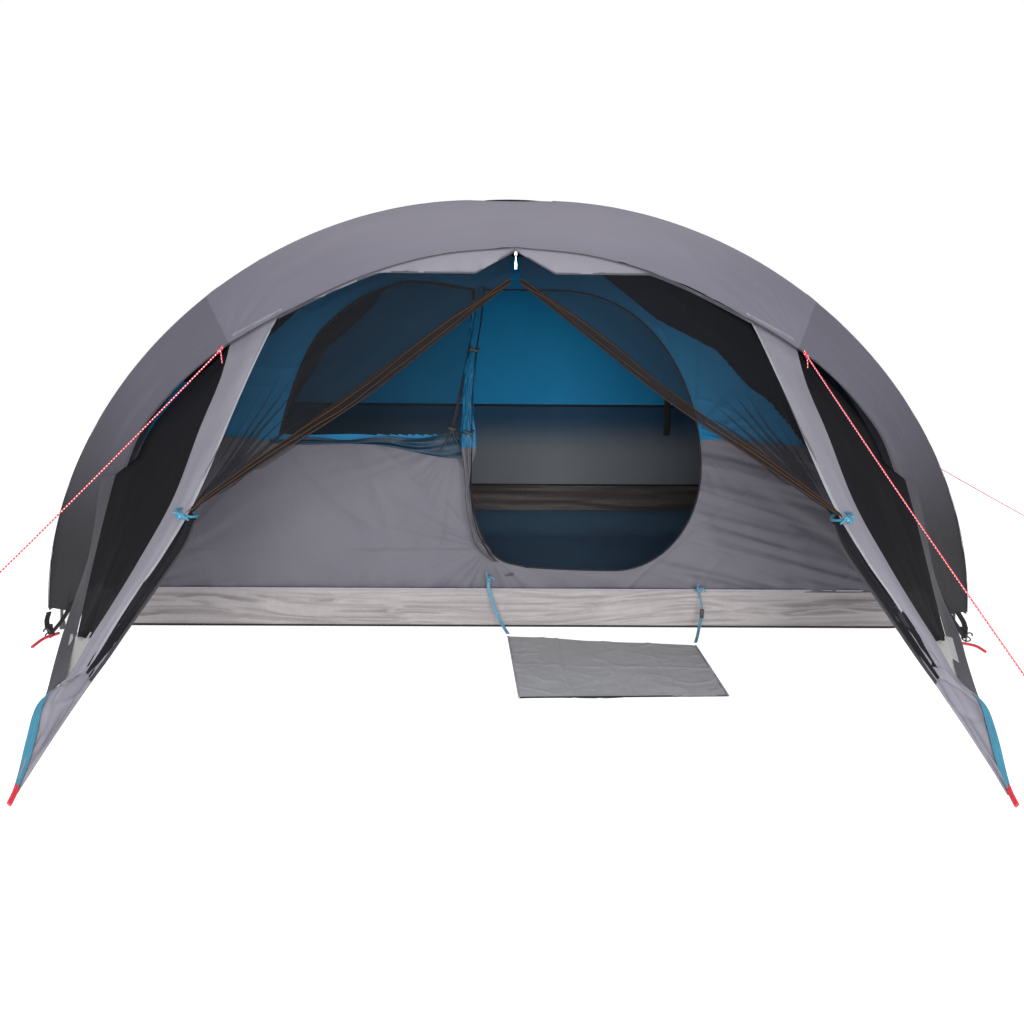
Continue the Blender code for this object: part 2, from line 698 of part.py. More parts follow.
def build_hub():
    middle = Vector((0, DOME_HALF_DEPTH, POLE_HEIGHT))
    mesh = bpy.data.meshes.new("hub_body")
    shape = bmesh.new()
    bmesh.ops.create_cone(
        shape, cap_ends=True, segments=24, radius1=HUB_RADIUS, radius2=HUB_RADIUS - 0.006,
        depth=HUB_HEIGHT,
    )
    bmesh.ops.translate(shape, vec=place(middle), verts=shape.verts)
    shape.to_mesh(mesh)
    shape.free()
    hub = add("hub_body", mesh, "hub_black", origin=place(middle))
    for name, side, end in diagonals():
        radial = Vector((side * POLE_HALF_WIDTH, end * POLE_HALF_DEPTH, 0)).normalized()
        mesh = bpy.data.meshes.new("hub_slot_" + name)
        shape = bmesh.new()
        bmesh.ops.create_cube(shape, size=1)
        bmesh.ops.scale(shape, vec=(0.06, SLOT_WIDTH, 0.08), verts=shape.verts)
        bmesh.ops.translate(shape, vec=(0.076, 0, 0), verts=shape.verts)
        turn = Matrix.Rotation(math.atan2(radial.y, radial.x), 4, "Z")
        bmesh.ops.transform(shape, matrix=turn, verts=shape.verts)
        bmesh.ops.translate(shape, vec=place(middle), verts=shape.verts)
        shape.to_mesh(mesh)
        shape.free()
        cut(hub, hide_cutter(bpy.data.objects.new("hub_slot_" + name, mesh)))
    low = POLE_HEIGHT - HUB_HEIGHT / 2
    ring = []
    for i in range(12):
        turn = 2 * math.pi * i / 12
        across = RING_RADIUS * math.sin(turn)
        ring.append((across, DOME_HALF_DEPTH, low - RING_DROP - RING_RADIUS * math.cos(turn)))
    tube_curve("hub_release_ring", ring, 0.003, "guy_red", 2, cyclic=True,
               origin=place((0, DOME_HALF_DEPTH, low - RING_DROP)))


def build_ground_gear():
    for name, side in (("right", 1), ("left", -1)):
        x = side * (DOME_HALF_WIDTH + 0.012)
        y = -0.004
        rows = [
            [(x, y + 0.11, 0.074), (x, y - 0.02, 0.074)],
            [(x + side * 0.01, y + 0.05, 0.038), (x + side * 0.01, y - 0.02, 0.038)],
            [(x + side * 0.02, y + 0.02, 0.004), (x + side * 0.02, y - 0.02, 0.004)],
        ]
        fabric("corner_webbing_" + name, rows, "web_black", 0.002)
        head = x + side * 0.034
        peg = [
            (head, y, 0.004), (head, y, 0.042), (head + side * 0.012, y, 0.052),
            (head + side * 0.024, y, 0.046), (head + side * 0.028, y, 0.034),
        ]
        tube_curve("foot_peg_" + name, peg, 0.003, "peg_steel", 2)
    build_guys()
    build_mat()


def rope(name, top, peg, sag):
    """A guy line from the fly to its ground end, hanging a little."""
    points = []
    for i in range(9):
        u = i / 8
        point = Vector(top).lerp(Vector(peg), u)
        points.append(point - Vector((0, 0, sag * math.sin(math.pi * u))))
    tube_curve(name, points, GUY_RADIUS, "guy_red", 2)


def build_guys():
    for name, (top, end, sag) in GUY_LINES.items():
        rope("guy_line_" + name, top, end, sag)


def build_mat():
    """Door mat in front of the sill, and the two straps that tie it to the cabin."""
    mesh = bpy.data.meshes.new("door_mat")
    shape = bmesh.new()
    low = [shape.verts.new(place((x, y, MAT_GAP))) for x, y in MAT_CORNERS]
    high = [shape.verts.new(place((x, y, MAT_GAP + MAT_THICK))) for x, y in MAT_CORNERS]
    shape.faces.new(low)
    shape.faces.new(high[::-1])
    for i in range(4):
        j = (i + 1) % 4
        shape.faces.new((low[i], low[j], high[j], high[i]))
    bmesh.ops.recalc_face_normals(shape, faces=shape.faces)
    shape.to_mesh(mesh)
    shape.free()
    add("door_mat", mesh, "mat_grey")
    for name, route in MAT_STRAPS.items():
        half = MAT_STRAP_WIDTH / 2
        rows = [[(x - half, y, z), (x + half, y, z)] for x, y, z in route]
        fabric("mat_strap_" + name, rows, "tie_blue", 0.002)


clear_scene()
TENT = new_collection("pop_up_tent")
CUTTERS = new_collection("cutters", hidden=True)
build_fly()
build_porch()
build_cabin()
build_frame()
build_ground_gear()
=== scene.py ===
"""Looks of the pop up tent: canopy, porch, cabin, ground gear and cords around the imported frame."""

import math

import bmesh
import bpy
import numpy as np
from mathutils import Matrix, Vector


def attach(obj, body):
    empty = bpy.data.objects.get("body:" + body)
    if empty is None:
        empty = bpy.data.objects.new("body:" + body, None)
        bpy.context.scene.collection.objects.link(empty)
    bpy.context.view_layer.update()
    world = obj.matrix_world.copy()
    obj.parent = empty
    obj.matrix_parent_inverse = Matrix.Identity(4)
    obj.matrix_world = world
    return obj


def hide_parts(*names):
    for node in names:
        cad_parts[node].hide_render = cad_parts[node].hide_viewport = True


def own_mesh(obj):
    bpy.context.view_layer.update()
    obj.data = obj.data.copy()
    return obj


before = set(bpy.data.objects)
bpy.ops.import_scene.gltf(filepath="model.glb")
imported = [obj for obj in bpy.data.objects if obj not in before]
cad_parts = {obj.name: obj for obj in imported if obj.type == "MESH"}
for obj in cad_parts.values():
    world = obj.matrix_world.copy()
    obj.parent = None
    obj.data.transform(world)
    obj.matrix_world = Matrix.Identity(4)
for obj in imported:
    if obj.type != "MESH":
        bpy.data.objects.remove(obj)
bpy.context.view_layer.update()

# Placement and driving sizes, in metres. Points are measured from the middle of the front feet.
FRONT_FEET_Y = -0.41
HALF_DEPTH = 1.10
FLY = (1.85, 1.10, 1.81)
CABIN = (1.66, 1.045, 1.70)
CROWN_ANGLE = 4.0
HEM_ANGLE = 87.0
BRIM_CORNER_ANGLE = 43.0
BRIM_CORNER = 4 / 11
TUB_HEIGHT = 0.155
PORCH_TIE = (1.00, -0.79, 0.65)

BRIM_EDGE = (
    (0.00, -0.350, 1.470), (0.26, -0.352, 1.443), (0.51, -0.352, 1.373), (0.77, -0.350, 1.255),
    (0.97, -0.350, 1.145), (1.13, -0.270, 1.045), (1.265, -0.200, 0.935), (1.37, -0.160, 0.820),
    (1.46, -0.120, 0.660), (1.57, -0.080, 0.420), (1.67, -0.040, 0.200), (1.76, -0.010, 0.085),
)
SHIFT = np.array((0.0, FRONT_FEET_Y, 0.0))


# ---------------------------------------------------------------- camera

CAMERA_PLACE = (-0.049, -3.832, 1.185)
CAMERA_TURNS = (11.35, 0.82, -0.5)
CAMERA_LENS = 31.15


def make_camera():
    """The camera stands in front of the porch, looking slightly down. Its turns are pitch, yaw and roll."""
    pitch, yaw, roll = (math.radians(angle) for angle in CAMERA_TURNS)
    forward = Vector((math.sin(yaw) * math.cos(pitch), math.cos(yaw) * math.cos(pitch), -math.sin(pitch)))
    level = Vector((math.cos(yaw), -math.sin(yaw), 0))
    rise = level.cross(forward)
    right = level * math.cos(roll) - rise * math.sin(roll)
    up = level * math.sin(roll) + rise * math.cos(roll)
    data = bpy.data.cameras.new("camera")
    data.lens = CAMERA_LENS
    data.sensor_width = 36.0
    data.clip_end = 200.0
    camera = bpy.data.objects.new("camera", data)
    turn = Matrix((right, up, -forward)).transposed().to_4x4()
    camera.matrix_world = Matrix.Translation(CAMERA_PLACE) @ turn
    bpy.context.scene.collection.objects.link(camera)
    bpy.context.scene.camera = camera


# ---------------------------------------------------------------- numbers

def value_noise(x, y, seed):
    """Smooth random height over the plane, from -1 to 1, one cell a unit."""
    x, y = np.broadcast_arrays(np.asarray(x, float), np.asarray(y, float))
    cell_x = np.floor(x)
    cell_y = np.floor(y)
    fx = x - cell_x
    fy = y - cell_y
    fx = fx ** 3 * (fx * (fx * 6 - 15) + 10)
    fy = fy ** 3 * (fy * (fy * 6 - 15) + 10)

    def at(i, j):
        mixed = np.sin((cell_x + i) * 127.1 + (cell_y + j) * 311.7 + seed * 74.7) * 43758.5453
        return 2 * (mixed - np.floor(mixed)) - 1

    low = at(0, 0) * (1 - fx) + at(1, 0) * fx
    high = at(0, 1) * (1 - fx) + at(1, 1) * fx
    return low * (1 - fy) + high * fy


def fractal(x, y, seed, octaves=3):
    total = 0
    for k in range(octaves):
        total = total + value_noise(x * 2 ** k, y * 2 ** k, seed + 13 * k) / 2 ** k
    return total


def creases(x, y, seed, sharp=3.0):
    """Narrow ridges where a smooth noise passes through nought, from 0 to 1."""
    bend = fractal(x * 0.7, y * 0.7, seed + 5, 2) * 0.6
    return (1 - np.abs(value_noise(x + bend, y - bend, seed))) ** sharp


def fan(a, b, anchor, spokes, reach, seed, sharp=2.0):
    """Wrinkles that spread from an anchor in the (a, b) plane and die out with distance."""
    da = a - anchor[0]
    db = b - anchor[1]
    far = np.hypot(da, db)
    turn = np.arctan2(db, da) * spokes / math.pi
    ripple = value_noise(turn + value_noise(far * 3, turn * 0.3, seed + 2) * 0.5, far * 1.6, seed)
    ripple = np.sign(ripple) * np.abs(ripple) ** (1 / sharp) if sharp < 1 else ripple
    return ripple * np.exp(-far / reach) * np.clip(far / 0.12, 0, 1)


def step(x, low, high):
    t = np.clip((np.asarray(x, float) - low) / (high - low), 0, 1)
    return t * t * (3 - 2 * t)


def bump(x, middle, width):
    return np.exp(-((x - middle) / width) ** 2)


# ---------------------------------------------------------------- lines and grids

def curve_through(points, count=None, at=None):
    """A smooth line through the points, spread evenly over the spans."""
    points = np.asarray(points, float)
    spans = len(points) - 1
    if at is None:
        at = np.linspace(0, 1, count)
    t = np.clip(np.asarray(at, float), 0, 1) * spans
    k = np.minimum(t.astype(int), spans - 1)
    f = (t - k)[..., None]
    padded = np.vstack((2 * points[0] - points[1], points, 2 * points[-1] - points[-2]))
    p0, p1, p2, p3 = (padded[k + i] for i in range(4))
    return 0.5 * (2 * p1 + (p2 - p0) * f + (2 * p0 - 5 * p1 + 4 * p2 - p3) * f * f
                  + (3 * p1 - p0 - 3 * p2 + p3) * f ** 3)


def even(line, count):
    """The same line with evenly spaced points."""
    line = np.asarray(line, float)
    steps = np.linalg.norm(np.diff(line, axis=0), axis=1)
    along = np.concatenate(([0], np.cumsum(steps)))
    want = np.linspace(0, along[-1], count)
    return np.stack([np.interp(want, along, line[:, i]) for i in range(3)], axis=1)


def loft(first, second, count):
    """A grid between two lines with equally many points."""
    v = np.linspace(0, 1, count)[None, :, None]
    return first[:, None, :] * (1 - v) + second[:, None, :] * v


def shares(grid):
    """The grid's own coordinates: u down the first line, v from the first line to the second."""
    u = np.linspace(0, 1, grid.shape[0])[:, None]
    v = np.linspace(0, 1, grid.shape[1])[None, :]
    return np.broadcast_arrays(u, v)


def normals(grid):
    du = np.gradient(grid, axis=0)
    dv = np.gradient(grid, axis=1)
    n = np.cross(du, dv)
    return n / np.maximum(np.linalg.norm(n, axis=2, keepdims=True), 1e-9)


def metres(grid):
    """Distances along both directions of the grid, for weave and stitching."""
    du = np.linalg.norm(np.diff(grid, axis=0), axis=2).mean(axis=1)
    dv = np.linalg.norm(np.diff(grid, axis=1), axis=2).mean(axis=0)
    a = np.concatenate(([0], np.cumsum(du)))[:, None]
    b = np.concatenate(([0], np.cumsum(dv)))[None, :]
    return np.broadcast_arrays(a, b)


def mirror(grid):
    flipped = np.array(grid, float)
    flipped[..., 0] *= -1
    return flipped


def arch(sizes, angle, side, end):
    """Points of a diagonal arch, side -1 or 1 for left or right, end -1 or 1 for front or rear."""
    turn = np.radians(np.asarray(angle, float))
    return np.stack((
        side * sizes[0] * np.sin(turn),
        HALF_DEPTH + end * sizes[1] * np.sin(turn),
        sizes[2] * np.cos(turn),
    ), axis=-1)


def brim_edge(u):
    return curve_through(BRIM_EDGE, at=u)


# ---------------------------------------------------------------- meshes

def link(name, mesh, material):
    obj = bpy.data.objects.new(name, mesh)
    bpy.context.scene.collection.objects.link(obj)
    mesh.materials.append(material)
    mesh.polygons.foreach_set("use_smooth", [True] * len(mesh.polygons))
    return obj


def grid_faces(rows, columns, closed=False):
    across = columns if closed else columns - 1
    i, j = np.meshgrid(np.arange(rows - 1), np.arange(across), indexing="ij")
    a = i * columns + j
    b = i * columns + (j + 1) % columns
    return np.stack((a, b, b + columns, a + columns), axis=-1).reshape(-1, 4)


def mesh_of(name, grid, closed=False, keep=None, uv=None):
    """A quad mesh over a grid of points, with its UV map in metres."""
    rows, columns = grid.shape[:2]
    points = (grid + SHIFT).reshape(-1, 3)
    faces = grid_faces(rows, columns, closed)
    if keep is not None:
        faces = faces[keep.reshape(-1)]
        used, index = np.unique(faces, return_inverse=True)
        faces = index.reshape(-1, 4)
        points = points[used]
    mesh = bpy.data.meshes.new(name)
    mesh.from_pydata(points.tolist(), [], faces.tolist())
    a, b = metres(grid) if uv is None else uv
    flat = np.stack((a, b), axis=-1).reshape(-1, 2)
    if keep is not None:
        flat = flat[used]
    layer = mesh.uv_layers.new(name="cloth")
    corners = np.zeros(len(mesh.loops), int)
    mesh.loops.foreach_get("vertex_index", corners)
    layer.data.foreach_set("uv", flat[corners].reshape(-1))
    return mesh


def follow(obj, nodes=(), body="tent"):
    """The piece rides on its body and stands for its CAD nodes; on the tent it gets a mesh of its own."""
    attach(obj, body)
    if nodes:
        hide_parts(*nodes)
    if body == "tent":
        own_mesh(obj)
    return obj


def cloth(name, grid, material, relief=None, nodes=(),
          keep=None, normal=None):
    """One sheet of cloth over a grid, raised by its relief."""
    base = grid
    if relief is not None:
        way = normals(grid) if normal is None else np.asarray(normal, float)
        grid = grid + way * np.asarray(relief)[..., None]
    mesh = mesh_of(name, grid, keep=keep, uv=metres(base))
    obj = link(name, mesh, material)
    long = float(np.linalg.norm(np.diff(base, axis=0), axis=2).sum(axis=0).max())
    wide = float(np.linalg.norm(np.diff(base, axis=1), axis=2).sum(axis=1).max())
    surface = sum(face.area for face in mesh.polygons)
    wide = min(wide, surface / (0.4 * long))
    follow(obj, nodes)
    return obj


def tube(name, line, radius, material, sides=8, caps=True):
    """A round tube along a line. Radius is one number or one for each point."""
    line = np.asarray(line, float)
    count = len(line)
    radius = np.broadcast_to(np.asarray(radius, float), (count,))
    ahead = np.gradient(line, axis=0)
    ahead /= np.maximum(np.linalg.norm(ahead, axis=1, keepdims=True), 1e-9)
    side = np.cross(ahead[0], (0.31, 0.17, 0.93))
    side /= np.linalg.norm(side)
    rings = []
    for k in range(count):
        side = side - ahead[k] * np.dot(side, ahead[k])
        side /= np.linalg.norm(side)
        other = np.cross(ahead[k], side)
        turn = np.linspace(0, 2 * math.pi, sides, endpoint=False)[:, None]
        rings.append(line[k] + radius[k] * (np.cos(turn) * side + np.sin(turn) * other))
    grid = np.array(rings)
    along = np.concatenate(([0], np.cumsum(np.linalg.norm(np.diff(line, axis=0), axis=1))))
    a = np.broadcast_to(along[:, None], grid.shape[:2])
    b = np.broadcast_to(np.arange(sides)[None, :] / sides, grid.shape[:2])
    mesh = mesh_of(name, grid, closed=True, uv=(a, b))
    if caps:
        shape = bmesh.new()
        shape.from_mesh(mesh)
        bmesh.ops.holes_fill(shape, edges=[e for e in shape.edges if e.is_boundary], sides=0)
        bmesh.ops.recalc_face_normals(shape, faces=shape.faces)
        shape.to_mesh(mesh)
        shape.free()
    return link(name, mesh, material)


def ribbon_grid(line, way, width, columns=5):
    """A flat band centred on a line, its width along the given directions."""
    line = np.asarray(line, float)
    way = np.broadcast_to(np.asarray(way, float), line.shape)
    way = way / np.maximum(np.linalg.norm(way, axis=1, keepdims=True), 1e-9)
    half = np.broadcast_to(np.asarray(width, float) / 2, (len(line),))[:, None]
    return loft(line - way * half, line + way * half, columns)


def band(name, line, way, width, material, thick):
    """A flat band with a real thickness along a line."""
    obj = link(name, mesh_of(name, ribbon_grid(line, way, width)), material)
    solid = obj.modifiers.new("thickness", "SOLIDIFY")
    solid.thickness = thick
    solid.offset = 0.0
    graph = bpy.context.evaluated_depsgraph_get()
    mesh = bpy.data.meshes.new_from_object(obj.evaluated_get(graph))
    obj.modifiers.clear()
    obj.data = mesh
    return obj


def tape(name, line, way, width, material, thick=0.0012, nodes=()):
    """A band sewn to the tent."""
    return follow(band(name, line, way, width, material, thick), nodes)


def join(name, objects):
    """Several small shapes of one material made one piece."""
    shape = bmesh.new()
    for obj in objects:
        shape.from_mesh(obj.data)
    mesh = bpy.data.meshes.new(name)
    shape.to_mesh(mesh)
    shape.free()
    material = objects[0].data.materials[0]
    for obj in objects:
        bpy.data.objects.remove(obj)
    return link(name, mesh, material)


def block(name, middle, size, material, bevel=0.3):
    """A small moulded block with rounded edges."""
    mesh = bpy.data.meshes.new(name)
    shape = bmesh.new()
    bmesh.ops.create_cube(shape, size=1)
    bmesh.ops.scale(shape, vec=size, verts=shape.verts)
    bmesh.ops.bevel(shape, geom=shape.edges[:], offset=min(size) * bevel, segments=3, affect="EDGES",
                    profile=0.5)
    bmesh.ops.translate(shape, vec=Vector(middle) + Vector(SHIFT), verts=shape.verts)
    shape.to_mesh(mesh)
    shape.free()
    return link(name, mesh, material)


# ---------------------------------------------------------------- materials

DYE_SPREAD = 0.14
CLOTH_GLOSS = 0.35
NET_GLOSS = 0.08
TAPE_GLOSS = 0.15
PLAIN_GLOSS = 0.5


def node(tree, kind, inputs, **settings):
    """A new node, its inputs set to values or linked to other nodes' outputs."""
    made = tree.nodes.new("ShaderNode" + kind)
    for key, value in settings.items():
        setattr(made, key, value)
    for key, value in inputs.items():
        if isinstance(value, bpy.types.NodeSocket):
            tree.links.new(value, made.inputs[key])
        else:
            made.inputs[key].default_value = value
    return made


def new_material(name):
    """A material, its empty node tree, and its UV and object coordinates."""
    made = bpy.data.materials.new(name)
    made.use_nodes = True
    tree = made.node_tree
    tree.nodes.clear()
    coords = tree.nodes.new("ShaderNodeTexCoord")
    return made, tree, coords.outputs["UV"], coords.outputs["Object"]


def finished(made, surface):
    node(made.node_tree, "OutputMaterial", {"Surface": surface})
    return made


def math_node(tree, kind, *values):
    return node(tree, "Math", dict(enumerate(values)), operation=kind).outputs[0]


def noise_node(tree, vector, scale, detail=3.0, rough=0.55):
    inputs = {"Vector": vector, "Scale": scale, "Detail": detail, "Roughness": rough}
    return node(tree, "TexNoise", inputs).outputs["Fac"]


def wave_node(tree, vector, direction, period):
    """Even bands with the given period, in the vector's own units."""
    inputs = {"Vector": vector, "Scale": 2 * math.pi / (20 * period)}
    return node(tree, "TexWave", inputs, wave_type="BANDS", bands_direction=direction).outputs["Fac"]


def mixed(tree, share, first, second):
    """A colour between two colours."""
    return node(tree, "Mix", {0: share, 6: first, 7: second}, data_type="RGBA").outputs[2]


def tinted(tree, color, share, spread):
    """The colour, darker and lighter by the spread as the share goes from 0 to 1."""
    dark = (*[c * (1 - spread) for c in color], 1)
    light = (*[min(1, c * (1 + spread)) for c in color], 1)
    return mixed(tree, share, dark, light)


def bump_node(tree, height, strength, distance, below=None):
    inputs = {"Height": height, "Strength": strength, "Distance": distance}
    if below is not None:
        inputs["Normal"] = below
    return node(tree, "Bump", inputs).outputs[0]


def plain_shader(tree, color, roughness, relief, gloss=PLAIN_GLOSS, metallic=0.0, coat=0.0):
    inputs = {"Base Color": color, "Roughness": roughness, "Normal": relief, "Specular IOR Level": gloss,
              "Metallic": metallic, "Coat Weight": coat}
    return node(tree, "BsdfPrincipled", inputs).outputs[0]


def shade_by_height(tree, space, dye, lower, share):
    """Painted shading by height: the dye turning into a second colour between two heights, one of the two
    colours standing in for shade.
    """
    color, high, low = lower
    height = node(tree, "SeparateXYZ", {0: space}).outputs[2]
    limits = {"Value": height, "From Min": high, "From Max": low}
    fade = node(tree, "MapRange", limits, interpolation_type="SMOOTHSTEP").outputs[0]
    return mixed(tree, fade, dye, tinted(tree, color, share, DYE_SPREAD))


def woven(name, color, roughness=0.62, glow=0.0, weave=0.0016, weave_bump=0.15, crinkle=0.25,
          opacity=None, coat=0.0, lower=None):
    """Coated polyester: plain weave, fine crinkles, uneven dye. Glow is the share of light passing through.
    Opacity, for netting, is the share of the surface that the threads cover. Lower is painted shading by
    height: a second colour that the cloth fades to, the fade standing in for the shade that falls on the
    cloth; its colour, and the heights where the fade starts and ends."""
    made, tree, uv, space = new_material(name)
    cloud = noise_node(tree, space, 3.2, 4.0)
    fleck = noise_node(tree, space, 60.0, 2.0)
    share = math_node(tree, "MULTIPLY_ADD", fleck, 0.35, math_node(tree, "MULTIPLY", cloud, 0.65))
    dye = tinted(tree, color, share, DYE_SPREAD)
    # Painted shading: the dye fades to a second colour between two heights, in place of light and shade.
    if lower is not None:
        dye = shade_by_height(tree, space, dye, lower, share)
    rough = math_node(tree, "MULTIPLY_ADD", fleck, 0.16, roughness - 0.08)
    warp = wave_node(tree, uv, "X", weave)
    weft = wave_node(tree, uv, "Y", weave)
    wrinkle = bump_node(tree, noise_node(tree, space, 26.0, 5.0, 0.6), crinkle, 0.006)
    relief = bump_node(tree, math_node(tree, "MULTIPLY", warp, weft), weave_bump, 0.0004, wrinkle)
    gloss = CLOTH_GLOSS if opacity is None else NET_GLOSS
    surface = plain_shader(tree, dye, rough, relief, gloss, coat=coat)
    if glow > 0:
        through = node(tree, "BsdfTranslucent", {"Color": (*color, 1)}).outputs[0]
        surface = node(tree, "MixShader", {0: glow, 1: surface, 2: through}).outputs[0]
    if opacity is not None:
        net = math_node(tree, "MAXIMUM", warp, weft)
        lifted = math_node(tree, "MULTIPLY_ADD", net, 0.12, opacity - 0.08)
        threads = math_node(tree, "MULTIPLY_ADD", cloud, 0.10, lifted)
        clear = node(tree, "BsdfTransparent", {}).outputs[0]
        surface = node(tree, "MixShader", {0: threads, 1: clear, 2: surface}).outputs[0]
    return finished(made, surface)


def netting(name, color, opacity, weave=0.0030):
    return woven(name, color, 0.95, opacity=opacity, weave=weave, crinkle=0.1)


def stitched(name, color, pitch=0.006, thread=(0.5, 0.5, 0.55)):
    """Tape with rows of stitches along it."""
    made, tree, uv, space = new_material(name)
    ribs = wave_node(tree, uv, "X", 0.0022)
    dashes = math_node(tree, "GREATER_THAN", wave_node(tree, uv, "X", pitch), 0.45)
    rows = math_node(tree, "GREATER_THAN", wave_node(tree, uv, "Y", 0.009), 0.93)
    stitch = math_node(tree, "MULTIPLY", dashes, rows)
    cloud = noise_node(tree, space, 20.0, 4.0)
    dye = mixed(tree, stitch, tinted(tree, color, cloud, 0.25), (*thread, 1))
    rough = math_node(tree, "MULTIPLY_ADD", cloud, 0.2, 0.6)
    height = math_node(tree, "ADD", math_node(tree, "MULTIPLY", ribs, 0.5), stitch)
    relief = bump_node(tree, height, 0.4, 0.0006)
    return finished(made, plain_shader(tree, dye, rough, relief, TAPE_GLOSS))


def braided(name, color, fleck_color, period=0.011):
    """Round braid: light diagonal flecks in a coloured cover."""
    made, tree, uv, space = new_material(name)
    split = node(tree, "SeparateXYZ", {0: uv})
    along = math_node(tree, "DIVIDE", split.outputs[0], period)
    left = math_node(tree, "FRACT", math_node(tree, "ADD", along, split.outputs[1]))
    right = math_node(tree, "FRACT", math_node(tree, "SUBTRACT", along, split.outputs[1]))
    mark = math_node(tree, "MULTIPLY", math_node(tree, "GREATER_THAN", left, 0.62),
                     math_node(tree, "GREATER_THAN", right, 0.55))
    dye = mixed(tree, mark, (*color, 1), (*fleck_color, 1))
    rough = math_node(tree, "MULTIPLY_ADD", noise_node(tree, space, 400.0, 2.0), 0.2, 0.6)
    relief = bump_node(tree, math_node(tree, "ADD", left, right), 0.5, 0.0006)
    return finished(made, plain_shader(tree, dye, rough, relief))


def moulded(name, color, roughness=0.45, metallic=0.0, grain=180.0, strength=0.12):
    """Plastic or metal with a fine grain and a little wear."""
    made, tree, _, space = new_material(name)
    cloud = noise_node(tree, space, 14.0, 4.0)
    rough = math_node(tree, "MULTIPLY_ADD", cloud, 0.22, roughness - 0.11)
    relief = bump_node(tree, noise_node(tree, space, grain), strength, 0.0005)
    dye = tinted(tree, color, cloud, 0.18)
    return finished(made, plain_shader(tree, dye, rough, relief, metallic=metallic))


def coil_tape(name, color):
    """Zip: a dark coil with its tape."""
    made, tree, uv, space = new_material(name)
    teeth = wave_node(tree, uv, "X", 0.003)
    share = math_node(tree, "MULTIPLY", teeth, noise_node(tree, space, 20.0))
    relief = bump_node(tree, teeth, 0.6, 0.001)
    return finished(made, plain_shader(tree, tinted(tree, color, share, 0.4), 0.5, relief))


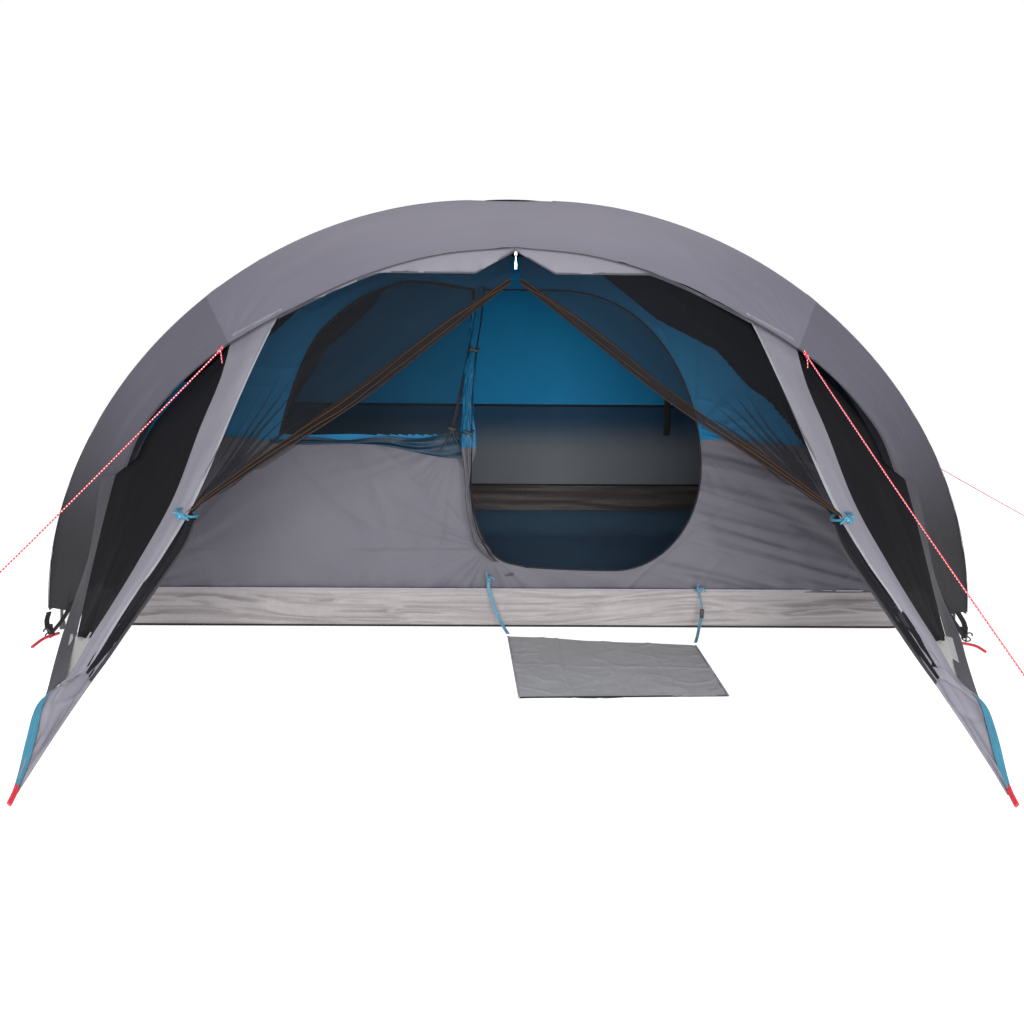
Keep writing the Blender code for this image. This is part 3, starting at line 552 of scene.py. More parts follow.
M = {
    # The fly cloth fades darker below the crown: painted shade, the lit top lighter than the sides.
    "fly": woven("fly_polyester_painted_shade", (0.195, 0.186, 0.228), 0.55, glow=0.05, crinkle=0.22,
                 lower=((0.140, 0.133, 0.172), 1.72, 1.30)),
    # A darker copy of the fly cloth, fading almost to black towards the foot: painted shade on the wings.
    "wing": woven("wing_polyester_painted_shade", (0.098, 0.093, 0.122), 0.60, glow=0.02, crinkle=0.30,
                  lower=((0.012, 0.012, 0.014), 1.15, 0.30)),
    "trim": woven("trim_polyester", (0.150, 0.146, 0.174), 0.60, glow=0.08, crinkle=0.45),
    "strip_dark": woven("rear_strip_polyester", (0.052, 0.051, 0.062), 0.65, glow=0.10, crinkle=0.45),
    "skirt": woven("skirt_polyester", (0.34, 0.34, 0.34), 0.70, glow=0.15, crinkle=0.5),
    "mesh": netting("insect_mesh", (0.012, 0.012, 0.014), 0.36),
    "fold": netting("insect_mesh_folded", (0.014, 0.010, 0.008), 0.74),
    "tail": netting("insect_mesh_gathered", (0.010, 0.010, 0.012), 0.92),
    "window": netting("window_mesh", (0.010, 0.016, 0.022), 0.30, 0.0026),
    "roof_mesh": netting("roof_mesh", (0.008, 0.009, 0.011), 0.85, 0.0026),
    "side_mesh": netting("side_mesh", (0.006, 0.006, 0.008), 0.97),
    "blue": woven("cabin_blue_polyester", (0.010, 0.205, 0.420), 0.60, glow=0.35, crinkle=0.30),
    "grey": woven("cabin_grey_polyester", (0.096, 0.092, 0.114), 0.58, glow=0.03, crinkle=0.32),
    # Grey cloth with a dark slate-blue top: painted shade cast by the upper walls, fading out towards the
    # bottom.
    "rear_grey_painted_shade": woven("cabin_rear_polyester_painted_shade", (0.012, 0.055, 0.115), 0.62, glow=0.10, crinkle=0.30,
                       lower=((0.165, 0.180, 0.200), 0.70, 0.44)),
    # A brighter copy of the cabin blue: painted light on the rear wall.
    "rear_blue_painted_light": woven("rear_blue_polyester", (0.012, 0.290, 0.600), 0.60, glow=0.25, crinkle=0.25),
    "tub": woven("groundsheet", (0.262, 0.242, 0.245), 0.45, weave=0.0024, weave_bump=0.3, crinkle=0.8),
    # A darker blue-grey copy of the groundsheet: painted shade on the floor inside the tub.
    "tub_floor_painted_shade": woven("groundsheet_inside_painted_shade", (0.085, 0.155, 0.230), 0.50, weave=0.0024, weave_bump=0.3,
                       crinkle=0.6),
    # A darker copy of the groundsheet: painted shade on the inside of the tub wall.
    "tub_lining_painted_shade": woven("groundsheet_lining_painted_shade", (0.060, 0.050, 0.045), 0.50, weave=0.0024, weave_bump=0.3,
                        crinkle=0.7),
    "mat": woven("mat_sheet", (0.300, 0.300, 0.315), 0.42, weave=0.0022, weave_bump=0.4, crinkle=0.8,
                 coat=0.1),
    "web": stitched("black_webbing", (0.012, 0.012, 0.014), thread=(0.05, 0.05, 0.05)),
    "binding": stitched("binding_tape", (0.05, 0.048, 0.058), thread=(0.12, 0.12, 0.14)),
    "seam": stitched("seam_tape", (0.235, 0.225, 0.275), thread=(0.40, 0.39, 0.44)),
    "light_tape": stitched("light_tape", (0.21, 0.21, 0.24), thread=(0.30, 0.30, 0.33)),
    "tie": stitched("blue_tie", (0.035, 0.145, 0.215), pitch=0.003, thread=(0.07, 0.20, 0.28)),
    "strap": stitched("blue_strap", (0.085, 0.20, 0.28), pitch=0.004, thread=(0.16, 0.30, 0.40)),
    "red": stitched("red_webbing", (0.50, 0.02, 0.04), pitch=0.004, thread=(0.62, 0.20, 0.20)),
    "braid": braided("red_braid", (0.50, 0.015, 0.035), (0.78, 0.72, 0.72)),
    "blue_cord": braided("blue_cord", (0.02, 0.14, 0.22), (0.08, 0.26, 0.36), 0.006),
    "black_cord": braided("black_cord", (0.012, 0.012, 0.014), (0.05, 0.05, 0.06), 0.006),
    "zip": coil_tape("zip_coil", (0.014, 0.014, 0.018)),
    "plastic": moulded("hub_plastic", (0.022, 0.022, 0.024)),
    "pole": moulded("pole_fibreglass", (0.055, 0.057, 0.062), 0.30, grain=90.0, strength=0.08),
    "steel": moulded("peg_steel", (0.55, 0.55, 0.57), 0.28, metallic=1.0),
    # Near-black blue: painted shade on the gathered window cover.
    "flap": woven("window_cover_painted_shade", (0.002, 0.020, 0.042), 0.55, glow=0.03, crinkle=0.6),
    # A darker copy of the cabin blue: painted shade on the rolled door.
    "roll_blue_painted_shade": woven("rolled_door_blue_painted_shade", (0.003, 0.085, 0.180), 0.50, glow=0.15, crinkle=0.6),
    "fold_zip": stitched("mesh_binding", (0.016, 0.012, 0.010), pitch=0.004, thread=(0.10, 0.045, 0.020)),
    "pleat": stitched("mesh_pleat", (0.045, 0.022, 0.012), pitch=0.004, thread=(0.09, 0.045, 0.020)),
    "door_edge": stitched("door_edge_tape", (0.010, 0.010, 0.012), pitch=0.003, thread=(0.03, 0.03, 0.035)),
    # A darker copy of the cabin grey: painted shade on the rolled door.
    "bunch_painted_shade": woven("rolled_door_grey_painted_shade", (0.055, 0.053, 0.064), 0.55, crinkle=0.7),
}


# ---------------------------------------------------------------- guy lines

def rope_line(top, peg, sag, count):
    u = np.linspace(0, 1, count)[:, None]
    line = np.array(top) * (1 - u) + np.array(peg) * u
    line[:, 2] -= sag * np.sin(math.pi * u[:, 0])
    return line


def make_guy(name, top, peg, sag, loop_way):
    """A guy line with its sewn loop and knot at the brim, and a knot at its peg end."""
    line = rope_line(top, peg, sag, 61)
    rope = tube("guy_" + name, line, 0.0025, M["braid"])
    follow(rope, ("guy_line_" + name,))
    away = (line[1] - line[0]) / np.linalg.norm(line[1] - line[0])
    turn = np.linspace(0, 1, 40)[:, None]
    loop_way = np.array(loop_way, float)
    start = np.array(top, float) + away * 0.012
    knot_line = start + away * (turn - 0.5) * 0.026 + 0.0042 * (
        np.cos(turn * 6 * math.pi) * loop_way + np.sin(turn * 6 * math.pi) * np.cross(away, loop_way))
    tail = np.array([start, start + (0.004, -0.006, -0.02), start + (0.006, -0.008, -0.045)])
    knot = join("guy_knot_" + name, [
        tube("knot", knot_line, 0.0030, M["braid"]),
        tube("tail", curve_through(tail, 12), 0.0022, M["braid"]),
    ])
    follow(knot, ())
    end = line[-1]
    end_line = end - away * 0.012 + away * (turn - 0.5) * 0.016 + 0.003 * (
        np.cos(turn * 4 * math.pi) * loop_way + np.sin(turn * 4 * math.pi) * np.cross(away, loop_way))
    end_line[:, 2] = np.maximum(end_line[:, 2], 0.005)
    end_knot = tube("guy_end_knot_" + name, end_line, 0.0028, M["braid"])
    follow(end_knot, ())


def make_guys():
    make_guy("front_left", (-0.985, -0.372, 1.133), (-2.03, -0.90, 0.01), 0.012, (0, 0, 1))
    make_guy("front_right", (0.985, -0.372, 1.133), (1.52, -1.42, 0.01), 0.012, (0, 0, 1))
    make_guy("rear_right", (1.60, 2.035, 0.99), (3.30, 1.52, 0.01), 0.010, (0, 0, 1))


# ---------------------------------------------------------------- fly

def pulled_wall(sizes, first, last, rows, columns, tuck):
    """The wall between a front and a rear arch on the right, drawn in at mid depth."""
    angle = np.linspace(first, last, rows)
    grid = loft(arch(sizes, angle, 1, -1), arch(sizes, angle, 1, 1), columns)
    v = shares(grid)[1]
    turn = np.radians(angle)[:, None]
    grid[..., 0] -= tuck * np.sin(turn) ** 2 * np.sin(math.pi * v)
    return grid


def end_wall(sizes, end, first, last, rows, columns, tuck):
    angle = np.linspace(first, last, rows)
    grid = loft(arch(sizes, angle, -1, end), arch(sizes, angle, 1, end), columns)
    v = shares(grid)[1]
    turn = np.radians(angle)[:, None]
    grid[..., 1] -= end * tuck * np.sin(turn) ** 2 * np.sin(math.pi * v)
    return grid


def taut_relief(grid, seed, depth=0.004):
    """Soft waves that follow the pull between the seams, and a few creases near the hem."""
    a, b = metres(grid)
    u, v = shares(grid)
    edge = np.sin(math.pi * np.clip(v, 0, 1)) ** 0.5 * np.sin(math.pi * np.clip(u, 0.0, 1)) ** 0.3
    waves = fractal(a * 1.5, b * 2.5, seed, 3) * depth
    ripples = value_noise(a * 3, b * 14, seed + 3) * depth * 0.35 * step(u, 0.3, 1.0)
    puckers = value_noise(a * 26, b * 1.5, seed + 9) * 0.0012 * (bump(v, 0, 0.06) + bump(v, 1, 0.06))
    lines = (creases(a * 2.2, b * 2.2, seed + 20, 9) - 0.2) * 0.0012
    return (waves + ripples + lines) * edge + puckers


def ridge_line(side, end, first, last, count, lift=0.004):
    angle = np.linspace(first, last, count)
    rise = np.cos(np.radians(angle)) + 0.1
    out = np.stack((np.full(count, side * 0.55), np.full(count, end * 0.2), rise), 1)
    return arch(FLY, angle, side, end) + lift * out / np.linalg.norm(out, axis=1, keepdims=True), out


def make_fly():
    grid = pulled_wall(FLY, CROWN_ANGLE, HEM_ANGLE, 120, 110, 0.05)
    for seed, name, shape in ((3, "right", grid), (8, "left", mirror(grid))):
        relief = taut_relief(shape, seed)
        cloth("canopy_side_" + name, shape, M["fly"], relief, ("fly_side_" + name,))
    rear = end_wall(FLY, 1, CROWN_ANGLE, HEM_ANGLE, 110, 150, 0.05)
    cloth("canopy_rear", rear, M["fly"], taut_relief(rear, 15), ("fly_rear",))
    make_front_canopy()
    make_crown()
    make_fly_seams()


def brim_ridge(s):
    """The line where the brim meets the front ridges, s from -1 to 1 across."""
    share = np.abs(s)
    across = 1 / 12
    along = np.clip((share - across) / (1 - across), 0, 1)
    line = arch(FLY, CROWN_ANGLE + (BRIM_CORNER_ANGLE - CROWN_ANGLE) * along, 1, -1)
    line[:, 0] *= np.sign(s) * np.minimum(1, share / across)
    return line + (0, -0.004, 0.004)


def brim_rim(s):
    line = brim_edge(np.abs(s) * BRIM_CORNER)
    line[:, 0] *= np.sign(s)
    return line


def brim_grid(rows, columns):
    s = np.linspace(-1, 1, rows)
    grid = loft(brim_ridge(s), brim_rim(s), columns)
    u, v = shares(grid)
    grid[..., 2] += 0.030 * np.sin(math.pi * u) ** 0.6 * np.sin(math.pi * v)
    return grid


def wing_lines(count):
    """Ridge and hem edge of the right wing, from the porch corner down to the foot."""
    u = np.linspace(0, 1, count)
    angle = BRIM_CORNER_ANGLE + (HEM_ANGLE - BRIM_CORNER_ANGLE) * u
    ridge = arch(FLY, angle, 1, -1) + (0, -0.004, 0.004)
    return ridge, brim_edge(BRIM_CORNER + (1 - BRIM_CORNER) * u)


def make_front_canopy():
    """Brim and both wings in one continuous sheet, with a crease from each ridge to its guy point."""
    columns = 64
    wing_rows = 110
    middle = brim_grid(240, columns)
    ridge, edge = wing_lines(wing_rows)
    wing = loft(ridge, edge, columns)
    s, v = shares(wing)
    wing = wing + (np.sin(math.pi * v) * np.sin(math.pi * s))[..., None] * (0.01, -0.02, 0)
    grid = np.vstack((mirror(wing)[:0:-1], middle, wing[1:]))
    a, b = metres(grid)
    side = np.abs(grid[..., 0])
    x = grid[..., 0]
    z = grid[..., 2]
    u, v = shares(grid)
    rows = len(grid)
    corner = (wing_rows - 1) / (rows - 1)
    relief = taut_relief(grid, 21, 0.005)
    relief = relief - 0.004 * bump(u, 0.5, 0.003) * step(v, 0.05, 0.2)
    for k, at_x in enumerate((0.97, -0.97)):
        relief = relief + fan(x, z, (at_x, 1.145), 26, 0.26, 4 + k) * 0.004
    for at_u in (corner, 1 - corner):
        relief = relief + 0.004 * bump(u, at_u, 0.016) * np.sin(math.pi * np.clip(v * 0.9 + 0.1, 0, 1))
    relief = relief + value_noise(a * 7, b * 0.8, 31) * 0.004 * step(v, 0.5, 1.0)
    low = step(side, 1.1, 1.5)
    relief = relief + 0.007 * low * value_noise(a * 2.2, b * 12, 43) * step(v, 0.2, 1)
    relief = relief * np.clip(step(u, 0, 0.02) * step(1 - u, 0, 0.02) + 0.25, 0, 1)
    canopy = cloth("canopy_front", grid, M["fly"], -relief, ("fly_brim", "fly_wing_left", "fly_wing_right"))
    # The wing rows take the darker copy of the fly cloth: painted shade on the sides of the canopy.
    canopy.data.materials.append(M["wing"])
    faces = np.zeros(len(canopy.data.polygons), np.int32)
    per_row = columns - 1
    row_of = np.arange(len(faces)) // per_row
    faces[(row_of < wing_rows - 1) | (row_of >= rows - wing_rows)] = 1
    canopy.data.polygons.foreach_set("material_index", faces)
    rim = grid[:, -1] + (0, -0.002, -0.001)
    tape("canopy_front_binding", rim, grid[:, -4] - grid[:, -1], 0.012, M["binding"])


def make_crown():
    """Round patch over the hub, domed."""
    radius = np.linspace(0.004, 0.163, 16)[:, None]
    turn = np.linspace(0, 2 * math.pi, 65)[None, :]
    x = radius * np.cos(turn)
    y = HALF_DEPTH + radius * np.sin(turn)
    z = 1.8175 - 0.30 * x ** 2 - 0.55 * (y - HALF_DEPTH) ** 2 + 0 * radius
    grid = np.stack((x, y, z), axis=-1)
    cloth("canopy_crown_patch", grid, M["fly"], None, ("fly_crown_patch",))


def make_fly_seams():
    """Felled seams along the four ridges, and hem tapes."""
    for side, x_name in ((1, "right"), (-1, "left")):
        for end, y_name in ((-1, "front"), (1, "rear")):
            line, out = ridge_line(side, end, 6, HEM_ANGLE, 90)
            way = np.cross(np.gradient(line, axis=0), out)
            tape(f"ridge_seam_{y_name}_{x_name}", line, way, 0.016, M["seam"])
    hem = pulled_wall(FLY, HEM_ANGLE - 0.5, HEM_ANGLE, 2, 60, 0.05)[1]
    for side, name in ((1, "right"), (-1, "left")):
        line = hem * (side, 1, 1) + (side * 0.002, 0, 0)
        tape("side_hem_" + name, line, (0, 0, 1), 0.018, M["binding"])
    rear = end_wall(FLY, 1, HEM_ANGLE - 0.5, HEM_ANGLE, 2, 80, 0.05)[1] + (0, 0.002, 0)
    tape("rear_hem", rear, (0, 0, 1), 0.018, M["binding"])


# ---------------------------------------------------------------- porch

def header_line(drop, u, inset):
    line = brim_edge(np.abs(u) * (4 - 0.85) / 11)
    line[:, 0] *= np.where(u < 0, -1, 1)
    return line + (0, inset, -drop)


def make_header():
    """Pleated band under the brim. Its lower edge is level and rises to the top of the zip."""
    u = np.linspace(-1, 1, 260)
    top = header_line(0.002, u, 0.010)
    low = header_line(0.007, u, 0.014)
    x = np.abs(top[:, 0])
    level = 1.386 + 0.074 * np.clip(1 - x / 0.135, 0, 1)
    low[:, 2] = np.minimum(low[:, 2], level)
    grid = loft(top, low, 22)
    a, b = metres(grid)
    v = shares(grid)[1]
    lean = np.sign(grid[..., 0]) * b * 14
    pleats = value_noise(a * 26 + lean, b * 3, 61) * 0.0035 + value_noise(a * 11 + lean * 0.5, b, 62) * 0.004
    cloth("porch_header_band", grid, M["trim"], pleats * (0.2 + 0.8 * v), ("porch_header",))
    edge = low + (0, -0.002, 0)
    tape("porch_header_seam", edge, (0, 0, 1), 0.006, M["binding"])


STRIP_OUTER = (
    (0.965, -0.315, 1.180), (0.999, -0.370, 1.030), (1.026, -0.528, 0.876), (1.050, -0.735, 0.684),
    (1.113, -0.875, 0.520), (1.166, -0.960, 0.408), (1.206, -1.030, 0.325), (1.248, -1.095, 0.230),
)
STRIP_INNER = (
    (0.800, -0.310, 1.262), (0.860, -0.360, 1.130), (0.914, -0.465, 0.970), (0.975, -0.750, 0.694),
    (1.040, -0.882, 0.540), (1.100, -0.950, 0.440), (1.150, -1.005, 0.350), (1.190, -1.070, 0.262),
)
HEM_OUTER = (
    (1.206, -1.020, 0.330), (1.252, -1.085, 0.235), (1.306, -1.125, 0.185), (1.310, -1.200, 0.104),
    (1.300, -1.296, 0.012),
)
HEM_INNER = (
    (1.075, -0.985, 0.400), (1.108, -1.035, 0.335), (1.150, -1.105, 0.262), (1.222, -1.195, 0.140),
    (1.290, -1.300, 0.010),
)
TAIL_INNER = (
    (0.955, -0.820, 0.634), (0.972, -0.880, 0.566), (1.028, -0.952, 0.470), (1.064, -0.996, 0.410),
    (1.098, -1.030, 0.356), (1.140, -1.088, 0.284), (1.210, -1.160, 0.180),
)
REAR_OUTER = (
    (1.540, -0.120, 0.640), (1.560, -0.240, 0.372), (1.530, -0.420, 0.268), (1.408, -0.780, 0.250),
    (1.320, -1.060, 0.195), (1.312, -1.120, 0.180),
)
REAR_INNER = (
    (1.480, -0.140, 0.660), (1.470, -0.290, 0.520), (1.455, -0.470, 0.345), (1.352, -0.790, 0.268),
    (1.262, -1.040, 0.250), (1.250, -1.080, 0.235),
)
SKIRT_LOW = ((1.190, -1.010, 0.300), (1.262, -1.092, 0.215), (1.285, -1.040, 0.225), (1.375, -0.790, 0.262))
NET_LOW = ((1.204, -1.000, 0.340), (1.268, -0.890, 0.305), (1.352, -0.790, 0.268))


def make_corner_strips():
    """On both sides: the strip from the brim to the peg, its light tape, the hem and the rear strip."""
    rows = 150
    strip = loft(curve_through(STRIP_OUTER, rows), curve_through(STRIP_INNER, rows), 24)
    strip[..., 1] -= 0.008 * np.sin(math.pi * shares(strip)[1])
    hem = loft(curve_through(HEM_OUTER, 70), curve_through(HEM_INNER, 70), 40)
    hem[..., 1] += 0.010 * (1 - shares(hem)[0])
    back = loft(curve_through(REAR_OUTER, 90), curve_through(REAR_INNER, 90), 16)
    for seed, name, side in ((71, "right", 1), (77, "left", -1)):
        flip = np.array((side, 1, 1))
        a, b = metres(strip)
        tie = bump(a, a.max() * 0.50, 0.09)
        relief = value_noise(a * 2.4, b * 34, seed) * 0.003 * (0.4 + tie)
        relief = relief + value_noise(a * 5, b * 10, seed + 1) * 0.003
        relief = relief * np.sin(math.pi * shares(strip)[1])
        cloth("corner_strip_" + name, strip * flip, M["trim"], relief, ("porch_corner_strip_" + name,))
        edge = strip[:, -1] * flip + (0, -0.004, 0)
        tape("corner_strip_tape_" + name, edge, strip[:, -4] * flip - edge, 0.014, M["light_tape"])
        a, b = metres(hem)
        folds = value_noise(a * 1.6, b * 40, seed + 8) * 0.009 + value_noise(a * 9, b * 30, seed + 9) * 0.006
        folds = folds + (creases(a * 14, b * 12, seed + 10, 5) - 0.2) * 0.008
        folds = folds * np.sin(math.pi * shares(hem)[1]) ** 0.5
        cloth("door_hem_" + name, hem * flip + (0, -0.006, 0), M["trim"], folds, ())
        q = np.linspace(0, 1, 40)[:, None]
        outer = curve_through(HEM_OUTER, at=0.36 + 0.64 * q[:, 0])
        inner = outer + (curve_through(HEM_INNER, at=0.36 + 0.64 * q[:, 0]) - outer) * (
            0.10 + 0.55 * q ** 2)
        tab = loft(outer, inner, 10) * flip + (0, -0.012, 0)
        a, b = metres(tab)
        cloth("corner_tab_" + name, tab, M["tie"], value_noise(a * 14, b * 14, seed) * 0.002,
              ("porch_corner_tab_" + name,))
        shape = back * flip
        a, b = metres(shape)
        cloth("rear_strip_" + name, shape, M["strip_dark"], value_noise(a * 5, b * 18, seed + 4) * 0.005,
              ("porch_rear_strip_" + name,))


TAIL_SHARE = 0.90


def door_free_edge(count):
    start = header_line(0.10, np.array([0.02]), 0.03)[0] + (0.0, -0.004, -0.015)
    tie = np.array((PORCH_TIE[0] - 0.03, PORCH_TIE[1] - 0.015, PORCH_TIE[2] + 0.01))
    bend = (start + tie) / 2 + (-0.02, -0.05, -0.02)
    return even(curve_through((start, (start + bend) / 2, bend, (bend + tie) / 2, tie), 200), count)


def make_mesh_doors():
    """Each half of the mesh door, pleated towards its tie, with bound edge and the gathered tail below."""
    rows = 170
    header = header_line(0.012, np.linspace(0.02, 1.0, 90), 0.018)
    strip = curve_through(STRIP_INNER, at=np.linspace(0.10, 0.47, 60)) + (0.004, 0.004, 0)
    outer = even(np.vstack((header, strip)), rows)
    free = door_free_edge(rows)
    grid = loft(outer, free, 80)
    s, v = shares(grid)
    wide = np.linalg.norm(free - outer, axis=1)[:, None]
    grid[..., 1] += 0.03 * np.sin(math.pi * v)
    fold_at = v * 7 + 0.9 * value_noise(s * 4, v * 3, 82)
    pleats = np.sin(2 * math.pi * fold_at) * 0.011 * step(s, 0.1, 0.9) * np.clip(wide / 0.15, 0.15, 1.2)
    soft = value_noise(s * 7, v * 5, 84) * 0.012 * np.sin(math.pi * v)
    tail_inner = curve_through(TAIL_INNER, at=np.linspace(0, TAIL_SHARE, 90))
    span = np.linspace(0.44, 0.985, 90)
    tail_outer = curve_through(STRIP_INNER, at=span) * 0.65 + curve_through(STRIP_OUTER, at=span) * 0.35
    tail_outer = tail_outer + (0, 0.010, 0)
    tail = loft(tail_outer, tail_inner, 34)
    q, w = shares(tail)
    folds = np.sin(2 * math.pi * (w * 3 + 0.5 * value_noise(q * 3, w * 2, 88))) * 0.008
    folds = folds * np.sin(math.pi * w) ** 0.6
    for side, name in ((1, "right"), (-1, "left")):
        flip = np.array((side, 1, 1))
        cloth("mesh_door_" + name, grid * flip, M["mesh"], pleats + soft, ("porch_mesh_door_" + name,))
        share = np.linspace(0, 1, rows)[:, None]
        fold_width = 0.050 * np.sin(math.pi * np.clip(share * 0.75 + 0.12, 0, 1))
        inward = (outer - free) / np.maximum(wide, 0.02)
        inner = free + inward * np.minimum(fold_width, 0.6 * wide)
        fold = loft(free, inner, 16) * flip + (0, -0.010, 0)
        m, n = metres(fold)
        cloth("mesh_door_fold_" + name, fold, M["fold"], value_noise(m * 3, n * 90, 83) * 0.010, ())
        cloth("mesh_door_tail_" + name, tail * flip, M["tail"], folds, ())
        edge = free * flip + (0, -0.014, 0)
        for k, part in enumerate((0.35, 0.78)):
            line = free + (inner - free) * part + (0, -0.018, 0)
            line = line + 0.006 * value_noise(share * 9 + k, 0 * share, 86 + k) * (0, 0, 1)
            tape(f"mesh_door_pleat_{k}_{name}", line * flip, (-0.55 * side, 0.2, 0.8), 0.006, M["pleat"])
        tape("mesh_door_binding_" + name, edge, (-0.55 * side, 0.2, 0.8), 0.009, M["fold_zip"])
        edge = tail_inner * flip + (0, -0.006, 0)
        tape("mesh_tail_binding_" + name, edge, (side, 0.3, 0.3), 0.010, M["zip"])


def make_side_mesh():
    fore = curve_through(STRIP_OUTER, at=np.linspace(0.0, 0.845, 130)) + (0.0, 0.006, 0)
    wing = brim_edge(np.linspace(BRIM_CORNER, 7.6 / 11, 50)) + (-0.015, 0.03, -0.012)
    rear = curve_through(REAR_INNER, at=np.linspace(0.0, 0.62, 50))
    aft = even(np.vstack((wing, rear)), 130)
    grid = loft(fore, aft, 60)
    skirt = loft(curve_through(NET_LOW, 40), curve_through(SKIRT_LOW, 40), 12)
    for seed, name, side in ((91, "right", 1), (97, "left", -1)):
        shape = grid * (side, 1, 1)
        a, b = metres(shape)
        relief = fractal(a * 3, b * 6, seed, 2) * 0.008 + value_noise(a * 2, b * 22, seed + 2) * 0.003
        relief = relief * np.sin(math.pi * shares(shape)[1])
        cloth("porch_side_net_" + name, shape, M["side_mesh"], relief, ("porch_side_mesh_" + name,))
        cloth("porch_skirt_" + name, skirt * (side, 1, 1), M["skirt"], None, ())


def make_porch_trim():
    for side, name in ((1, "right"), (-1, "left")):
        turn = np.linspace(0, 2 * math.pi, 60)
        ring = np.stack((
            side * (PORCH_TIE[0] - 0.014 + 0.028 * np.cos(turn)),
            PORCH_TIE[1] - 0.016 + 0.038 * np.sin(turn),
            PORCH_TIE[2] + 0.002 + 0.010 * np.cos(turn),
        ), axis=1)
        pieces = [tube("ring", ring, 0.0042, M["blue_cord"])]
        knot = np.array((side * (PORCH_TIE[0] - 0.012), PORCH_TIE[1] - 0.058, PORCH_TIE[2] + 0.002))
        for ends in ((-0.024, -0.012, -0.012), (0.022, -0.010, 0.010), (0.010, -0.012, -0.014)):
            reach = np.array(ends) * (side, 1, 1)
            tail = np.array([knot, knot + reach * 0.5 + (0, -0.004, 0.004), knot + reach])
            pieces.append(tube("tail", curve_through(tail, 12), 0.0034, M["blue_cord"]))
        lump = (knot + (-0.008, 0, 0.004), knot + (0, -0.006, 0), knot + (0.008, 0, -0.004))
        pieces.append(tube("knot", curve_through(lump, 8), 0.009, M["blue_cord"]))
        follow(join("door_tie_" + name, pieces), ("porch_door_tie_" + name,))
        loop = ((side * 1.296, -1.290, 0.026), (side * 1.290, -1.318, 0.018), (side * 1.284, -1.356, 0.009))
        strand = curve_through(loop, 24)
        way = np.array((0.6 * side, 0.1, 0.6))
        pieces = [tube("strand", strand + way * 0.004, 0.0040, M["red"]),
                  tube("strand", strand - way * 0.003, 0.0040, M["red"])]
        follow(join("peg_loop_" + name, pieces), ("porch_peg_loop_" + name,))


def make_porch_zip():
    slider = join("front_zip_slider", [
        block("body", (0, -0.357, 1.449), (0.012, 0.008, 0.016), M["steel"], 0.35),
        block("bridge", (0, -0.363, 1.450), (0.005, 0.005, 0.012), M["steel"], 0.35),
    ])
    follow(slider, ("porch_zip_slider",), "zip_slider")
    pull = join("front_zip_pull", [
        block("stem", (0, -0.370, 1.430), (0.005, 0.003, 0.018), M["steel"], 0.3),
        block("grip", (0, -0.370, 1.409), (0.010, 0.004, 0.026), M["steel"], 0.35),
    ])
    follow(pull, ("porch_zip_pull",), "zip_pull")


# ---------------------------------------------------------------- cabin

DOOR_TOP = 1.37
DOOR_SILL = 0.24
DOOR_RIGHT = 0.77
DOOR_WIDEST = 0.66
DOOR_TOP_RUN = 0.17


def wall_lean(height):
    """Share of the cabin's half width and half depth that its walls reach at a height."""
    return np.sin(np.arccos(np.clip(np.asarray(height, float) / CABIN[2], -1, 1)))


def front_wall_y(height):
    return HALF_DEPTH - CABIN[1] * wall_lean(height)


def drawn_in(x, z):
    """How far the front wall is pulled inwards between its two arches."""
    lean = wall_lean(z)
    return 0.03 * lean ** 2 * np.cos(math.pi / 2 * np.clip(x / np.maximum(CABIN[0] * lean, 0.05), -1, 1))


DOOR_LEFT_SIDE = (
    (0.060, 0.252), (-0.050, 0.285), (-0.120, 0.380), (-0.160, 0.520), (-0.172, 0.700), (-0.160, 0.950),
    (-0.142, 1.200), (-0.126, 1.370),
)
DOOR_LOW_RUN = 0.42
FRONT_WAY = (0, -1, 0.25)
WINDOW_SILL = 0.775
WINDOW_ARC = (
    (-0.330, 1.395), (-0.453, 1.400), (-0.561, 1.365), (-0.674, 1.305), (-0.782, 1.205), (-0.834, 1.125),
    (-0.876, 1.020), (-0.909, 0.910), (-0.934, 0.808), (-0.940, 0.775),
)
WINDOW_FOLD = (
    (-0.540, 1.372), (-0.619, 1.259), (-0.759, 1.126), (-0.826, 1.014), (-0.885, 0.905), (-0.925, 0.800),
)


def door_outline():
    """Outline of the D-shaped doorway in X and Z: its left side, top, right arc and sill."""
    turn = np.linspace(0, math.pi / 2, 60)
    upper = np.stack((DOOR_TOP_RUN + (DOOR_RIGHT - DOOR_TOP_RUN) * np.sin(turn) ** 0.85,
                      DOOR_WIDEST + (DOOR_TOP - DOOR_WIDEST) * np.cos(turn)), axis=1)
    lower = np.stack((DOOR_LOW_RUN + (DOOR_RIGHT - DOOR_LOW_RUN) * np.cos(turn),
                      DOOR_WIDEST - (DOOR_WIDEST - DOOR_SILL) * np.sin(turn)), axis=1)
    points = np.array([(x, 0, z) for x, z in DOOR_LEFT_SIDE])
    side = curve_through(points, 80)[:, (0, 2)]
    top = np.stack((np.linspace(side[-1, 0], DOOR_TOP_RUN, 24), np.full(24, DOOR_TOP)), axis=1)
    share = np.linspace(0, 1, 30)
    sill = np.stack((DOOR_LOW_RUN + (side[0, 0] - DOOR_LOW_RUN) * share,
                     DOOR_SILL + (side[0, 1] - DOOR_SILL) * share ** 2), axis=1)
    return np.vstack((side[:-1], top[:-1], upper[:-1], lower[:-1], sill[:-1]))


def window_outline():
    """The mesh window left of the roll: a round arc over a level sill."""
    arc = curve_through([(x, 0, z) for x, z in WINDOW_ARC], 70)[:, (0, 2)]
    return np.vstack(([(-0.19, WINDOW_SILL), (-0.165, DOOR_TOP)], arc))


